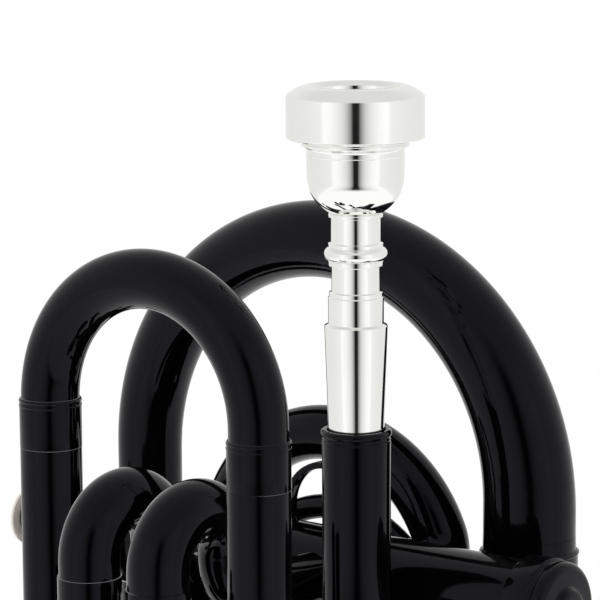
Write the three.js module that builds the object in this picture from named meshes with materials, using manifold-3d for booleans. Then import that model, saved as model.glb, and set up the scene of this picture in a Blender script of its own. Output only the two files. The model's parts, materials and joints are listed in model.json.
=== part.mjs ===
// A pocket trumpet, standing on its bell with the mouthpiece pointing up.
// Millimetres. Z runs from the bell rim up to the mouthpiece, X from the finger buttons to the bottom caps,
// and Y from the tuning slide, on the player's left, to the bell. Places are taken from a point on the
// leadpipe's axis just under the receiver's rim, and the whole is set down at the end on the middle of its
// footprint.
import * as THREE from 'three';
import { mergeVertices } from 'three/addons/utils/BufferGeometryUtils.js';
import Module from 'manifold-3d';

const wasm = await Module();
wasm.setup();

// General sizes
const gap = 0.3;            // room left between pieces that fit or rest against each other
const overrun = 3;          // how far a cutter or a joined end runs past the face it meets
const weld = 0.0001;        // points closer than this are one point
const quarter = Math.PI / 2;

// Tubing
const tubeRadius = 6.1;
const tubeWall = 0.6;
const sleeveRadius = 6.4;   // fixed outer tubes that the slides run in
const sleeveWall = 0.45;
const legWall = 0.5;        // inner slide legs
const legRadius = sleeveRadius - sleeveWall - gap;
const ferruleStandout = 0.5;
const ferruleLength = 10;

// Mouthpiece, heights from the point that all places are taken from
const mouthpiece = {
  rimTop: 69.7, rimRadius: 13.6, crestRadius: 9.4, biteRadius: 8.2,
  bandTop: 67.1, bandBottom: 59.2, bandEdge: 1.1, underRadius: 10.2, underHeight: 57.4,
  cupRadius: 9.75, cupTop: 56.6, cupShoulder: 49.4, cupBottom: 45.2,
  collarRadius: 5.5, collarTop: 44.6, collarBottom: 43.7,
  neckRadius: 4.95, ringRadius: 5.5, ringTop: 39.2, beadTop: 38, beadRadius: 6.35, beadBottom: 35.2,
  ringBottom: 34.3, lowerNeckRadius: 4.85, stepTop: 29.2, stepRadius: 5.3, bodyTop: 28, bodyRadius: 5.5,
  bodyBottom: 22.7, shankTop: 21.6, shankRadius: 6.2, shankTaperShare: 0.031, insertion: 19.6,
  cupDepth: 13.5, throatRadius: 1.9, throatLength: 6, backboreRadius: 4.1,
};

// Receiver and leadpipe
const receiver = { rimZ: 1.5, lipRadius: 7.05, lipHeight: 2.6, radius: 6.85, end: -38, socketClearance: 1 };
const leadpipe = { startRadius: 6, startBore: 4.4, end: -95, taperStart: -60 };
const leadpipeBow = { bottom: -126, returnTop: -70 };

// Tuning slide: a bow in the plane across the valves, with its lower leg beside the receiver
const tuning = {
  y: -31.5, midX: -26.2, bend: 26.7, bendZ: 6.4, ferruleRadius: 6.5, ferruleBottom: -4,
  legEnd: -50, upperSleeveEnd: -58, beadStandout: 0.15, beadHeight: 0.5, beadPitch: 1.2,
};
const entryTube = { bend: 16, portX: -33.5 };

// Valves: casings lie along X, one below another
const valve = {
  y: 18, firstZ: -34.2, pitch: 27, radius: 9.3, wall: 0.75, top: -75, bottom: 34,
  pistonTop: -71, pistonBottom: 6, pistonWall: 1.2, stroke: 17, passageRadius: 3.8,
  capRadius: 10.3, capSkirt: 5, topCapHeight: 8, bottomCapHeight: 4.2, capWall: 1.6,
  capGripRadius: 0.35, capHoleRadius: 2.5, capNoseRadius: 5.6, capNoseHeight: 1.4,
  stemRadius: 2, feltRadius: 5, feltHeight: 2, buttonRadius: 6.8, buttonHeight: 3.6, buttonNeckRadius: 4,
  buttonNeckHeight: 1.2, pearlRadius: 5.8, pearlRecess: 1, pearlHeight: 1.9, springRadius: 6,
  springWire: 0.45, springTurns: 6,
};
const knuckleX = -21;

// First valve slide: two crooks on the player's left and a short slide between them
const firstSlide = {
  legXs: [-36.6, -18.9], bendY: -28, bend: 10.8, bendZ: -23.2, sleeveTop: -26, sleeveEnd: -50, legTop: -30,
};
// Second valve slide, on the bell side
const secondSlide = { legXs: [-38, -18], sleeveEnd: 49, legStart: 30 };
// Third valve slide, at the front
const thirdSlide = { legXs: [-47, -30], sleeveLength: 27.5, legInset: 4.5, bendDrop: 16 };

// Bell branch: middle bow, front bow, big bow and bell
const middleBow = { x: -32.3, y: 35, z: -39.3, bend: 30, elbow: 7.7, end: -84, radius: 5.8 };
const frontBow = { bottom: -120, endRadius: 6.9 };
const bigBow = {
  x: -37.7, y: 41, z: -20.3, bend: 51.5, startRadius: 7.2, endRadius: 9.6, end: -26, wall: 0.7,
};
const bell = { rimZ: -195, rimRadius: 48, wall: 0.8, beadRadius: 1.3, flareShare: 0.5 };

// Rings, hook and braces
const thumbRing = { x: -21, radius: 10.5, strip: 1.3, width: 3, sink: 7.2 };
const pinkyRing = { x: -63.6, radius: 9.3, strip: 1.2, width: 6 };
const slideRing = { drop: 9, radius: 11.3, strip: 1.4, width: 6 };
const brace = { radius: 2, footRadius: 3.4, footHeight: 0.9, leadpipeZ: -48, bellZ: -61.2, bowZ: -76 };
const archRod = { x: -28.2, y: 31, z: -50.6, bend: 26.4, radius: 2.6, sweepShare: 0.78 };

// Water keys
const waterKey = {
  padReach: 12, tailReach: 12, width: 4, thickness: 1.1, standoff: 4.2, pivotRadius: 1.5, pinRadius: 0.7,
  earThickness: 1, earHeight: 5.6, earRootDepth: 0.5, earLength: 3.4, nippleRadius: 2.6, nippleHeight: 1.9,
  padRadius: 3, tailRadius: 3.4, leadpipeZ: -112, slideDrop: 5,
};
const pullKnob = { radius: 3, neckRadius: 1.6, neckHeight: 2, height: 5 };

// Facets
const tubeSides = 12;
const mouthpieceSides = 20;
const valveSides = 16;
const bellSides = 30;
const smallSides = 8;
const ringSides = 16;
const passageSides = 8;
const passageSteps = 4;
const springSides = 4;
const springStepsPerTurn = 8;
const wideBend = 20;        // bends wider than this get the finer steps
const wideStep = quarter / 5;
const narrowStep = quarter / 3;

// Finishes
const finish = (color, metalness, roughness) => new THREE.MeshStandardMaterial({ color, metalness, roughness });
const blackLacquer = finish(0x0a0a0b, 0.3, 0.08);
const silverPlate = finish(0xe4e6e8, 1, 0.08);
const pearl = finish(0xe9e2d2, 0, 0.25);
const monel = finish(0xb7b3a8, 1, 0.3);
const springSteel = finish(0x9a9b9d, 1, 0.35);
const felt = finish(0x2b2b2e, 0, 0.95);

// Directions
const along = { x: new THREE.Vector3(1, 0, 0), y: new THREE.Vector3(0, 1, 0), z: new THREE.Vector3(0, 0, 1) };
const left = along.y.clone().negate();
const right = along.y;
const rear = along.z;
const front = along.z.clone().negate();
const at = (x, y, z) => new THREE.Vector3(x, y, z);

// A route of straight lines and arcs. Every extrusion step ends on the route, and a line is one step.
class Route extends THREE.Curve {
  constructor(start, heading) {
    super();
    this.end = start.clone();
    this.heading = heading.clone().normalize();
    this.runs = [];
    this.steps = 0;
  }

  run(steps, point, tangent) {
    this.runs.push({ first: this.steps, steps, point, tangent });
    this.steps += steps;
    this.end = point(1);
    this.heading = tangent(1);
    return this;
  }

  line(length) {
    const from = this.end.clone();
    const heading = this.heading.clone();
    return this.run(1, (t) => from.clone().addScaledVector(heading, length * t), () => heading.clone());
  }

  arc(bend, angle, toward) {
    const heading = this.heading.clone();
    const centre = this.end.clone().addScaledVector(toward, bend);
    const steps = Math.max(2, Math.round(angle / (bend > wideBend ? wideStep : narrowStep)));
    const point = (t) => centre.clone()
      .addScaledVector(toward, -bend * Math.cos(angle * t))
      .addScaledVector(heading, bend * Math.sin(angle * t));
    const tangent = (t) => toward.clone().multiplyScalar(Math.sin(angle * t))
      .addScaledVector(heading, Math.cos(angle * t));
    return this.run(steps, point, tangent);
  }

  locate(t) {
    const step = t * this.steps;
    const run = this.runs.find((one) => step <= one.first + one.steps) ?? this.runs.at(-1);
    return { run, local: Math.min(1, (step - run.first) / run.steps) };
  }

  getPoint(t) {
    const { run, local } = this.locate(t);
    return run.point(local);
  }

  getTangent(t) {
    const { run, local } = this.locate(t);
    return run.tangent(local);
  }

  getPointAt(t) {
    return this.getPoint(t);
  }

  getTangentAt(t) {
    return this.getTangent(t);
  }
}

// Joining and cutting
function toSolid(geometry) {
  const bare = geometry.clone();
  bare.deleteAttribute('normal');
  bare.deleteAttribute('uv');
  const merged = mergeVertices(bare, weld);
  const points = merged.attributes.position;
  const corners = [0, 1, 2].map(() => new THREE.Vector3());
  const faces = [];
  let volume = 0;
  for (let i = 0; i < merged.index.count; i += 3) {
    const ids = [0, 1, 2].map((k) => merged.index.getX(i + k));
    if (ids[0] === ids[1] || ids[1] === ids[2] || ids[2] === ids[0]) continue;
    corners.forEach((corner, k) => corner.fromBufferAttribute(points, ids[k]));
    volume += corners[0].dot(corners[1].clone().cross(corners[2]));
    faces.push(ids);
  }
  const outward = volume > 0 ? faces : faces.map(([a, b, c]) => [a, c, b]);
  const vertProperties = new Float32Array(points.array);
  const triVerts = new Uint32Array(outward.flat());
  return new wasm.Manifold(new wasm.Mesh({ numProp: 3, vertProperties, triVerts }));
}

function toGeometry(solid) {
  const mesh = solid.getMesh();
  const geometry = new THREE.BufferGeometry();
  geometry.setAttribute('position', new THREE.BufferAttribute(new Float32Array(mesh.vertProperties), 3));
  geometry.setIndex(new THREE.BufferAttribute(new Uint32Array(mesh.triVerts), 1));
  geometry.computeVertexNormals();
  return geometry;
}

const join = (...solids) => solids.reduce((whole, solid) => whole.add(solid));
const cut = (solid, ...cutters) => cutters.reduce((rest, cutter) => rest.subtract(cutter), solid);

// Shapes, all returned as solids
function circle(radius, bore = 0) {
  const shape = new THREE.Shape().absarc(0, 0, radius, 0, 4 * quarter);
  if (bore > 0) shape.holes.push(new THREE.Path().absarc(0, 0, bore, 0, 4 * quarter));
  return shape;
}

function tube(route, radius, bore = 0, sides = tubeSides) {
  const settings = { steps: route.steps, extrudePath: route, curveSegments: sides / 2, bevelEnabled: false };
  return toSolid(new THREE.ExtrudeGeometry(circle(radius, bore), settings));
}

const straight = (start, heading, length, radius, bore = 0, sides = tubeSides) => (
  tube(new Route(start, heading).line(length), radius, bore, sides)
);

// A tube whose radius changes along its route; radiusAt takes the share of the steps passed
function taperedTube(route, radiusAt, wallAt, sides = tubeSides) {
  const { normals, binormals } = route.computeFrenetFrames(route.steps, false);
  const points = [];
  const faces = [];
  const rings = route.steps + 1;
  for (let i = 0; i < rings; i += 1) {
    const share = i / route.steps;
    const centre = route.getPoint(share);
    const radii = [radiusAt(share), radiusAt(share) - wallAt(share)];
    radii.forEach((radius) => {
      for (let k = 0; k < sides; k += 1) {
        const angle = 4 * quarter * k / sides;
        points.push(centre.clone()
          .addScaledVector(normals[i], radius * Math.cos(angle))
          .addScaledVector(binormals[i], radius * Math.sin(angle)));
      }
    });
  }
  const id = (ring, layer, k) => (2 * ring + layer) * sides + (k % sides);
  const quad = (a, b, c, d) => faces.push(a, b, c, a, c, d);
  for (let k = 0; k < sides; k += 1) {
    for (let i = 0; i < route.steps; i += 1) {
      quad(id(i, 0, k), id(i, 0, k + 1), id(i + 1, 0, k + 1), id(i + 1, 0, k));
      quad(id(i, 1, k + 1), id(i, 1, k), id(i + 1, 1, k), id(i + 1, 1, k + 1));
    }
    quad(id(0, 0, k), id(0, 1, k), id(0, 1, k + 1), id(0, 0, k + 1));
    quad(id(rings - 1, 0, k), id(rings - 1, 0, k + 1), id(rings - 1, 1, k + 1), id(rings - 1, 1, k));
  }
  const geometry = new THREE.BufferGeometry().setFromPoints(points);
  geometry.setIndex(faces);
  return toSolid(geometry);
}

// A turned piece about Z; each profile point is [radius, height]
function turned(profile, sides = tubeSides) {
  const points = profile.map(([radius, height]) => new THREE.Vector2(radius, height));
  return toSolid(new THREE.LatheGeometry(points, sides).rotateX(quarter));
}

// A ring of flat strip about Y, for a finger
function stripRing({ radius, strip, width }, centre) {
  const section = [[radius - strip, -width / 2], [radius, -width / 2], [radius, width / 2],
    [radius - strip, width / 2], [radius - strip, -width / 2]];
  const points = section.map(([x, y]) => new THREE.Vector2(x, y));
  return toSolid(new THREE.LatheGeometry(points, ringSides).translate(centre.x, centre.y, centre.z));
}

// A turned piece about X, for the valves; each profile point is [radius, place along X]
function turnedAlongX(profile, sides = valveSides) {
  const points = profile.map(([radius, height]) => new THREE.Vector2(radius, height));
  return toSolid(new THREE.LatheGeometry(points, sides).rotateZ(-quarter));
}

const box = (length, width, height, centre) => (
  toSolid(new THREE.BoxGeometry(length, width, height).translate(centre.x, centre.y, centre.z))
);

const moved = (solid, place) => solid.translate([place.x, place.y, place.z]);

// The scene graph
const trumpet = new THREE.Group();
function add(name, solid, material, parent = trumpet) {
  const mesh = new THREE.Mesh(toGeometry(solid), material);
  mesh.name = name;
  parent.add(mesh);
  return mesh;
}

// Valve places and what enters the casings
const valveZ = (i) => valve.firstZ - valve.pitch * i;
const casingAxis = (i, x) => at(x, valve.y, valveZ(i));
const clearOfCasing = (i) => moved(
  turnedAlongX([[0, valve.top], [valve.radius + gap, valve.top], [valve.radius + gap, valve.bottom],
    [0, valve.bottom]]),
  casingAxis(i, 0),
);

// Mouthpiece, a single turned piece with its cup, throat and backbore
function makeMouthpiece() {
  const m = mouthpiece;
  const shankEnd = -m.insertion;
  const endRadius = m.shankRadius - m.shankTaperShare * (m.shankTop + m.insertion);
  const bead = (m.beadTop + m.beadBottom) / 2;
  const bowlBottom = m.rimTop - m.cupDepth;
  const outside = [
    [endRadius, shankEnd],
    [m.shankRadius, m.shankTop - gap],
    [m.bodyRadius, m.bodyBottom],
    [m.bodyRadius, m.bodyTop],
    [m.stepRadius, m.bodyTop + gap],
    [m.stepRadius, m.stepTop],
    [m.lowerNeckRadius, m.stepTop + gap],
    [m.lowerNeckRadius, m.ringBottom - gap],
    [m.ringRadius, m.ringBottom],
    [m.ringRadius, m.beadBottom],
    [m.beadRadius, bead - gap],
    [m.beadRadius, bead + gap],
    [m.ringRadius, m.beadTop],
    [m.ringRadius, m.ringTop - gap],
    [m.neckRadius, m.ringTop],
    [m.neckRadius, m.collarBottom],
    [m.collarRadius, m.collarBottom + gap],
    [m.collarRadius, m.collarTop],
  ];
  const shoulderSteps = 4;
  for (let i = 1; i <= shoulderSteps; i += 1) {
    const angle = quarter * i / shoulderSteps;
    outside.push([
      m.collarRadius + (m.cupRadius - m.collarRadius) * Math.sin(angle),
      m.cupShoulder - (m.cupShoulder - m.cupBottom) * Math.cos(angle),
    ]);
  }
  outside.push(
    [m.cupRadius, m.cupTop],
    [m.underRadius, m.underHeight],
    [m.underRadius, m.bandBottom - m.bandEdge],
    [m.rimRadius - m.bandEdge, m.bandBottom - m.bandEdge / 2],
    [m.rimRadius, m.bandBottom + m.bandEdge / 2],
    [m.rimRadius, m.bandTop],
    [m.rimRadius - m.bandEdge, m.bandTop + m.bandEdge],
    [m.crestRadius, m.rimTop],
  );
  const inside = [[m.biteRadius, m.rimTop - m.bandEdge / 2]];
  const bowlSteps = 4;
  for (let i = 1; i <= bowlSteps; i += 1) {
    const angle = quarter * i / bowlSteps;
    inside.push([
      m.throatRadius + (m.biteRadius - m.throatRadius) * Math.cos(angle),
      m.rimTop - m.bandEdge / 2 - (m.cupDepth - m.bandEdge) * Math.sin(angle),
    ]);
  }
  inside.push([m.throatRadius, bowlBottom - m.throatLength], [m.backboreRadius, shankEnd]);
  return turned([...outside, ...inside, outside[0]], mouthpieceSides);
}
add('mouthpiece', makeMouthpiece(), silverPlate);

// Receiver: a rounded lip, a tapered socket and the end of the leadpipe
function makeReceiver() {
  const m = mouthpiece;
  const r = receiver;
  const socketRadiusAt = (z) => m.shankRadius - m.shankTaperShare * (m.shankTop - z) + gap;
  const socketEnd = -m.insertion - r.socketClearance;
  return turned([
    [socketRadiusAt(r.rimZ), r.rimZ],
    [r.lipRadius - gap, r.rimZ],
    [r.lipRadius, r.rimZ - gap],
    [r.lipRadius, r.rimZ - r.lipHeight + gap],
    [r.radius, r.rimZ - r.lipHeight],
    [r.radius, r.end],
    [leadpipe.startRadius + gap, r.end],
    [leadpipe.startRadius + gap, socketEnd],
    [socketRadiusAt(socketEnd), socketEnd],
    [socketRadiusAt(r.rimZ), r.rimZ],
  ], mouthpieceSides);
}
add('mouthpiece_receiver', makeReceiver(), blackLacquer);

const leadpipeTop = gap - mouthpiece.insertion - receiver.socketClearance - 2 * gap;
add('leadpipe', turned([
  [leadpipe.startRadius, leadpipeTop],
  [leadpipe.startRadius, leadpipe.taperStart],
  [tubeRadius, leadpipe.end],
  [tubeRadius - tubeWall, leadpipe.end],
  [leadpipe.startBore, leadpipeTop],
  [leadpipe.startRadius, leadpipeTop],
]), blackLacquer);

// Water key seat: a nipple and two ears that stand on a tube whose outer side faces along X
function keySeat(place, side) {
  const k = waterKey;
  const reach = side * (tubeRadius - tubeWall / 2);
  const nippleTop = tubeWall / 2 + k.nippleHeight;
  const nipple = straight(
    at(place.x + reach, place.y, place.z - k.padReach),
    at(side, 0, 0), nippleTop, k.nippleRadius, k.nippleRadius / 2, smallSides,
  );
  const earOffset = (k.width + k.earThickness) / 2 + gap;
  const earRoot = tubeRadius - tubeWall - k.earRootDepth;
  const earTop = tubeRadius + k.earHeight;
  const earX = place.x + side * (earRoot + earTop) / 2;
  const ears = [-1, 1].map((way) => box(
    earTop - earRoot, k.earThickness, k.earLength, at(earX, place.y + way * earOffset, place.z),
  ));
  const pin = straight(
    at(place.x + side * (tubeRadius + k.standoff), place.y - earOffset - k.earThickness / 2, place.z),
    right, 2 * earOffset + k.earThickness, k.pinRadius, 0, smallSides,
  );
  return join(nipple, ...ears, pin);
}

// Water key lever: a barrel on the pin, a plate, a pad over the nipple and a round thumb piece
function keyLever(place, side) {
  const k = waterKey;
  const pivotX = place.x + side * (tubeRadius + k.standoff);
  const barrel = straight(
    at(pivotX, place.y - k.width / 2, place.z), right, k.width, k.pivotRadius, k.pinRadius + gap, smallSides,
  );
  const plateX = pivotX + side * (k.pivotRadius - k.thickness / 2);
  const plate = box(k.thickness, k.width, k.padReach + k.tailReach, at(plateX, place.y, place.z));
  const pinRoom = straight(
    at(pivotX, place.y - k.width, place.z), right, 2 * k.width, k.pinRadius + gap, 0, smallSides,
  );
  const padFace = place.x + side * (tubeRadius + k.nippleHeight + gap);
  const padDepth = Math.abs(plateX - padFace);
  const pad = straight(at(padFace, place.y, place.z - k.padReach), at(side, 0, 0), padDepth, k.padRadius, 0,
    smallSides);
  const tail = straight(at(plateX - side * k.thickness / 2, place.y, place.z + k.tailReach), at(side, 0, 0),
    k.thickness, k.tailRadius, 0, smallSides);
  return cut(join(barrel, plate, pad, tail), pinRoom);
}

// A wider band round the upper end of a bow, where the next tube joins
const makeFerrule = (top, radius) => (
  straight(top, front, ferruleLength, radius + ferruleStandout, radius - tubeWall / 2)
);

// Front bow of the leadpipe, which leads back up to the tuning slide's lower sleeve
const lowerLegX = tuning.midX + tuning.bend;
const upperLegX = tuning.midX - tuning.bend;
const leadpipeBowBend = Math.hypot(tuning.y, lowerLegX) / 2;
const towardTuning = at(lowerLegX, tuning.y, 0).normalize();
function makeLeadpipeBow() {
  const start = at(0, 0, leadpipe.end - gap);
  const route = new Route(start, front)
    .line(start.z - leadpipeBow.bottom)
    .arc(leadpipeBowBend, 2 * quarter, towardTuning)
    .line(leadpipeBow.returnTop - gap - leadpipeBow.bottom);
  const ferrule = makeFerrule(start, tubeRadius);
  const ferruleBack = makeFerrule(route.end, tubeRadius);
  return join(
    tube(route, tubeRadius, tubeRadius - tubeWall), ferrule, ferruleBack,
    keySeat(at(0, 0, waterKey.leadpipeZ), 1),
  );
}
add('leadpipe_bow', makeLeadpipeBow(), blackLacquer);
add('leadpipe_water_key', keyLever(at(0, 0, waterKey.leadpipeZ), 1), silverPlate);

// Tuning slide: the bow, and two legs that each carry the ferrule it is soldered in
const sleeveTop = tuning.ferruleBottom - gap;
add('tuning_slide_bow', tube(
  new Route(at(upperLegX, tuning.y, tuning.bendZ), rear).arc(tuning.bend, 2 * quarter, along.x),
  tubeRadius, tubeRadius - tubeWall,
), blackLacquer);

function makeTuningLeg(x) {
  const t = tuning;
  const ferruleTop = t.bendZ - gap;
  const bead = (top) => [
    [t.ferruleRadius, top],
    [t.ferruleRadius + t.beadStandout, top - t.beadHeight / 2],
    [t.ferruleRadius, top - t.beadHeight],
  ];
  return moved(turned([
    [tubeRadius - tubeWall, ferruleTop],
    ...bead(ferruleTop),
    ...bead(ferruleTop - t.beadPitch),
    [t.ferruleRadius, t.ferruleBottom],
    [legRadius, t.ferruleBottom],
    [legRadius, t.legEnd],
    [legRadius - legWall, t.legEnd],
    [legRadius - legWall, t.ferruleBottom],
    [tubeRadius - tubeWall, ferruleTop],
  ]), at(x, t.y, 0));
}
add('tuning_slide_upper_leg', makeTuningLeg(upperLegX), blackLacquer);
add('tuning_slide_lower_leg', makeTuningLeg(lowerLegX), blackLacquer);

function makeTuningSleeve(x, end) {
  const sleeve = straight(at(x, tuning.y, sleeveTop), front, sleeveTop - end, sleeveRadius,
    sleeveRadius - sleeveWall);
  const ferrule = straight(at(x, tuning.y, end + ferruleLength), front, ferruleLength,
    sleeveRadius + ferruleStandout, sleeveRadius - sleeveWall / 2);
  return join(sleeve, ferrule);
}
add('tuning_upper_sleeve', makeTuningSleeve(upperLegX, tuning.upperSleeveEnd), blackLacquer);
add('tuning_lower_sleeve', makeTuningSleeve(lowerLegX, leadpipeBow.returnTop), blackLacquer);

// Tube from the tuning slide into the third valve
const entryRun = at(entryTube.portX - upperLegX, valve.y - tuning.y, 0);
function entryRoute() {
  const start = at(upperLegX, tuning.y, tuning.upperSleeveEnd - gap);
  return new Route(start, front)
    .line(start.z - valveZ(2) - entryTube.bend)
    .arc(entryTube.bend, quarter, entryRun.clone().normalize())
    .line(entryRun.length() - entryTube.bend);
}
add('third_valve_entry_tube', cut(tube(entryRoute(), tubeRadius, tubeRadius - tubeWall), clearOfCasing(2)),
  blackLacquer);

// Middle bow: leaves the first valve on the bell side, turns up and arches back
const middleTilt = Math.asin((valve.firstZ - middleBow.z) / Math.hypot(middleBow.bend, middleBow.elbow))
  + Math.atan2(middleBow.elbow, middleBow.bend);
const middlePortX = middleBow.x + middleBow.bend * Math.cos(middleTilt)
  + middleBow.elbow * Math.sin(middleTilt);
const middleLegX = middleBow.x - middleBow.bend;
function middleRoute() {
  const riseDirection = at(-Math.sin(middleTilt), 0, Math.cos(middleTilt));
  const towardCentre = at(-Math.cos(middleTilt), 0, -Math.sin(middleTilt));
  return new Route(casingAxis(0, middlePortX), right)
    .line(middleBow.y - middleBow.elbow - valve.y)
    .arc(middleBow.elbow, quarter, riseDirection)
    .arc(middleBow.bend, 2 * quarter - middleTilt, towardCentre)
    .line(middleBow.z - middleBow.end);
}
add('middle_bow', cut(
  tube(middleRoute(), middleBow.radius, middleBow.radius - tubeWall),
  clearOfCasing(0),
), blackLacquer);

// Front bow: joins the middle bow to the big bow, and widens on the way
const bigLegX = bigBow.x - bigBow.bend;
const frontRun = at(bigLegX - middleLegX, bigBow.y - middleBow.y, 0);
function makeFrontBow() {
  const start = at(middleLegX, middleBow.y, middleBow.end - gap);
  const route = new Route(start, front)
    .line(start.z - frontBow.bottom)
    .arc(frontRun.length() / 2, 2 * quarter, frontRun.clone().normalize())
    .line(middleBow.end - frontBow.bottom);
  const radiusAt = (share) => middleBow.radius + (frontBow.endRadius - middleBow.radius) * share;
  const ferrule = makeFerrule(start, middleBow.radius);
  const ferruleBack = makeFerrule(route.end, frontBow.endRadius);
  return join(taperedTube(route, radiusAt, () => tubeWall), ferrule, ferruleBack);
}
add('front_bow', makeFrontBow(), blackLacquer);

// Big bow, widening towards the bell
function makeBigBow() {
  const b = bigBow;
  const start = at(bigLegX, b.y, middleBow.end + gap);
  const route = new Route(start, rear)
    .line(b.z - start.z)
    .arc(b.bend, 2 * quarter, along.x)
    .line(b.z - b.end);
  const steps = route.steps;
  const radii = [frontBow.endRadius, b.startRadius];
  const radiusAt = (share) => {
    const step = share * steps;
    if (step <= 1) return radii[0] + (radii[1] - radii[0]) * step;
    return b.startRadius + (b.endRadius - b.startRadius) * Math.min(1, (step - 1) / (steps - 2));
  };
  return taperedTube(route, radiusAt, () => b.wall);
}
add('big_bow', makeBigBow(), blackLacquer);

// Bell, flaring to a rolled rim
const bellX = bigBow.x + bigBow.bend;
const bellTop = bigBow.end - gap;
const bellLength = bellTop - bell.rimZ;
const flareOffset = bellLength / ((bell.rimRadius / bigBow.endRadius) ** (1 / bell.flareShare) - 1);
const bellRadiusAt = (z) => bell.rimRadius * (flareOffset / (z - bell.rimZ + flareOffset)) ** bell.flareShare;
const bellStationShares = [1, 0.8, 0.6, 0.44, 0.31, 0.21, 0.135, 0.08, 0.04, 0.02];
function makeBell() {
  const b = bell;
  const stations = bellStationShares.map((share) => b.rimZ + bellLength * share);
  const outside = stations.map((z) => [bellRadiusAt(z), z]);
  const inside = stations.map((z) => {
    const slope = bellRadiusAt(z) * b.flareShare / (z - b.rimZ + flareOffset);
    return [bellRadiusAt(z) - b.wall * Math.hypot(1, slope), z];
  });
  const beadMiddle = b.rimRadius - b.beadRadius;
  const rim = [
    [beadMiddle, b.rimZ + 2 * b.beadRadius],
    [b.rimRadius - b.beadRadius / 3, b.rimZ + 5 * b.beadRadius / 3],
    [b.rimRadius, b.rimZ + b.beadRadius],
    [b.rimRadius - b.beadRadius / 3, b.rimZ + b.beadRadius / 4],
    [beadMiddle + b.beadRadius / 4, b.rimZ],
    [beadMiddle - b.beadRadius, b.rimZ],
    [beadMiddle - 2 * b.beadRadius, b.rimZ + b.beadRadius / 2],
  ];
  return moved(turned([...outside, ...rim, ...inside.reverse(), outside[0]], bellSides),
    at(bellX, bigBow.y, 0));
}
add('bell', makeBell(), blackLacquer);

// First valve slide
const firstFarY = firstSlide.bendY + firstSlide.bend;
const firstNearY = firstSlide.bendY - firstSlide.bend;
const firstElbow = firstSlide.bendZ - valve.firstZ;
function makeFirstCrook(x) {
  const s = firstSlide;
  const route = new Route(casingAxis(0, x), left)
    .line(valve.y - firstFarY - firstElbow)
    .arc(firstElbow, quarter, rear)
    .arc(s.bend, 2 * quarter, left)
    .line(s.bendZ - s.sleeveTop + overrun);
  const sleeve = straight(at(x, firstNearY, s.sleeveTop), front, s.sleeveTop - s.sleeveEnd, sleeveRadius,
    sleeveRadius - sleeveWall);
  return cut(join(tube(route, tubeRadius, tubeRadius - tubeWall), sleeve), clearOfCasing(0));
}
add('first_valve_upper_crook', makeFirstCrook(firstSlide.legXs[0]), blackLacquer);
add('first_valve_lower_crook', makeFirstCrook(firstSlide.legXs[1]), blackLacquer);

// A slide with two legs, straight ends and a bow; legs run from inside their sleeves
function makeSlide(starts, heading, legLength, endLength, acrossDirection) {
  const bend = starts[0].distanceTo(starts[1]) / 2;
  const legs = starts.map((start) => straight(start, heading, legLength + overrun, legRadius,
    legRadius - legWall));
  const bowStart = starts[0].clone().addScaledVector(heading, legLength + gap);
  const bow = new Route(bowStart, heading)
    .line(endLength)
    .arc(bend, 2 * quarter, acrossDirection)
    .line(endLength);
  return join(tube(bow, tubeRadius, legRadius - legWall / 2), ...legs);
}
const firstLegLength = firstSlide.legTop - firstSlide.sleeveEnd;
add('first_valve_slide', makeSlide(
  firstSlide.legXs.map((x) => at(x, firstNearY, firstSlide.legTop)), front, firstLegLength, overrun + gap,
  along.x,
), blackLacquer);

// Second valve slide, with its sleeves and a pull knob
secondSlide.legXs.forEach((x, i) => {
  const sleeve = straight(casingAxis(1, x), right, secondSlide.sleeveEnd - valve.y, sleeveRadius,
    sleeveRadius - sleeveWall);
  add(`second_valve_sleeve_${i + 1}`, cut(sleeve, clearOfCasing(1)), blackLacquer);
});
function makeSecondSlide() {
  const starts = secondSlide.legXs.map((x) => at(x, secondSlide.legStart, valveZ(1)));
  const legLength = secondSlide.sleeveEnd - secondSlide.legStart;
  const slide = makeSlide(starts, right, legLength, overrun + gap, along.x);
  const middleX = (secondSlide.legXs[0] + secondSlide.legXs[1]) / 2;
  const bowOutside = secondSlide.sleeveEnd + 2 * gap + overrun + (secondSlide.legXs[1] - middleX) + tubeRadius;
  const k = pullKnob;
  const foot = at(middleX, bowOutside - tubeWall, valveZ(1));
  const neck = straight(foot, right, k.neckHeight + tubeWall + gap, k.neckRadius, 0, smallSides);
  const head = straight(at(foot.x, bowOutside + k.neckHeight, foot.z), right, k.height - k.neckHeight, k.radius,
    0, smallSides);
  return join(slide, neck, head);
}
add('second_valve_slide', makeSecondSlide(), blackLacquer);

// Third valve slide, with its sleeves, finger ring and water key
const thirdFront = valveZ(2) - valve.radius;
const thirdSleeveEnd = thirdFront - thirdSlide.sleeveLength;
thirdSlide.legXs.forEach((x, i) => {
  const sleeve = straight(casingAxis(2, x), front, valveZ(2) - thirdSleeveEnd, sleeveRadius,
    sleeveRadius - sleeveWall);
  add(`third_valve_sleeve_${i + 1}`, cut(sleeve, clearOfCasing(2)), blackLacquer);
});
const thirdKeyPlace = at(thirdSlide.legXs[1], valve.y, thirdSleeveEnd - waterKey.slideDrop);
add('third_valve_slide', join(makeSlide(
  thirdSlide.legXs.map((x) => at(x, valve.y, thirdFront - thirdSlide.legInset)), front,
  thirdSlide.sleeveLength - thirdSlide.legInset, thirdSlide.bendDrop - gap, along.x,
), keySeat(thirdKeyPlace, 1)), blackLacquer);
add('third_slide_water_key', keyLever(thirdKeyPlace, 1), silverPlate);

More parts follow.
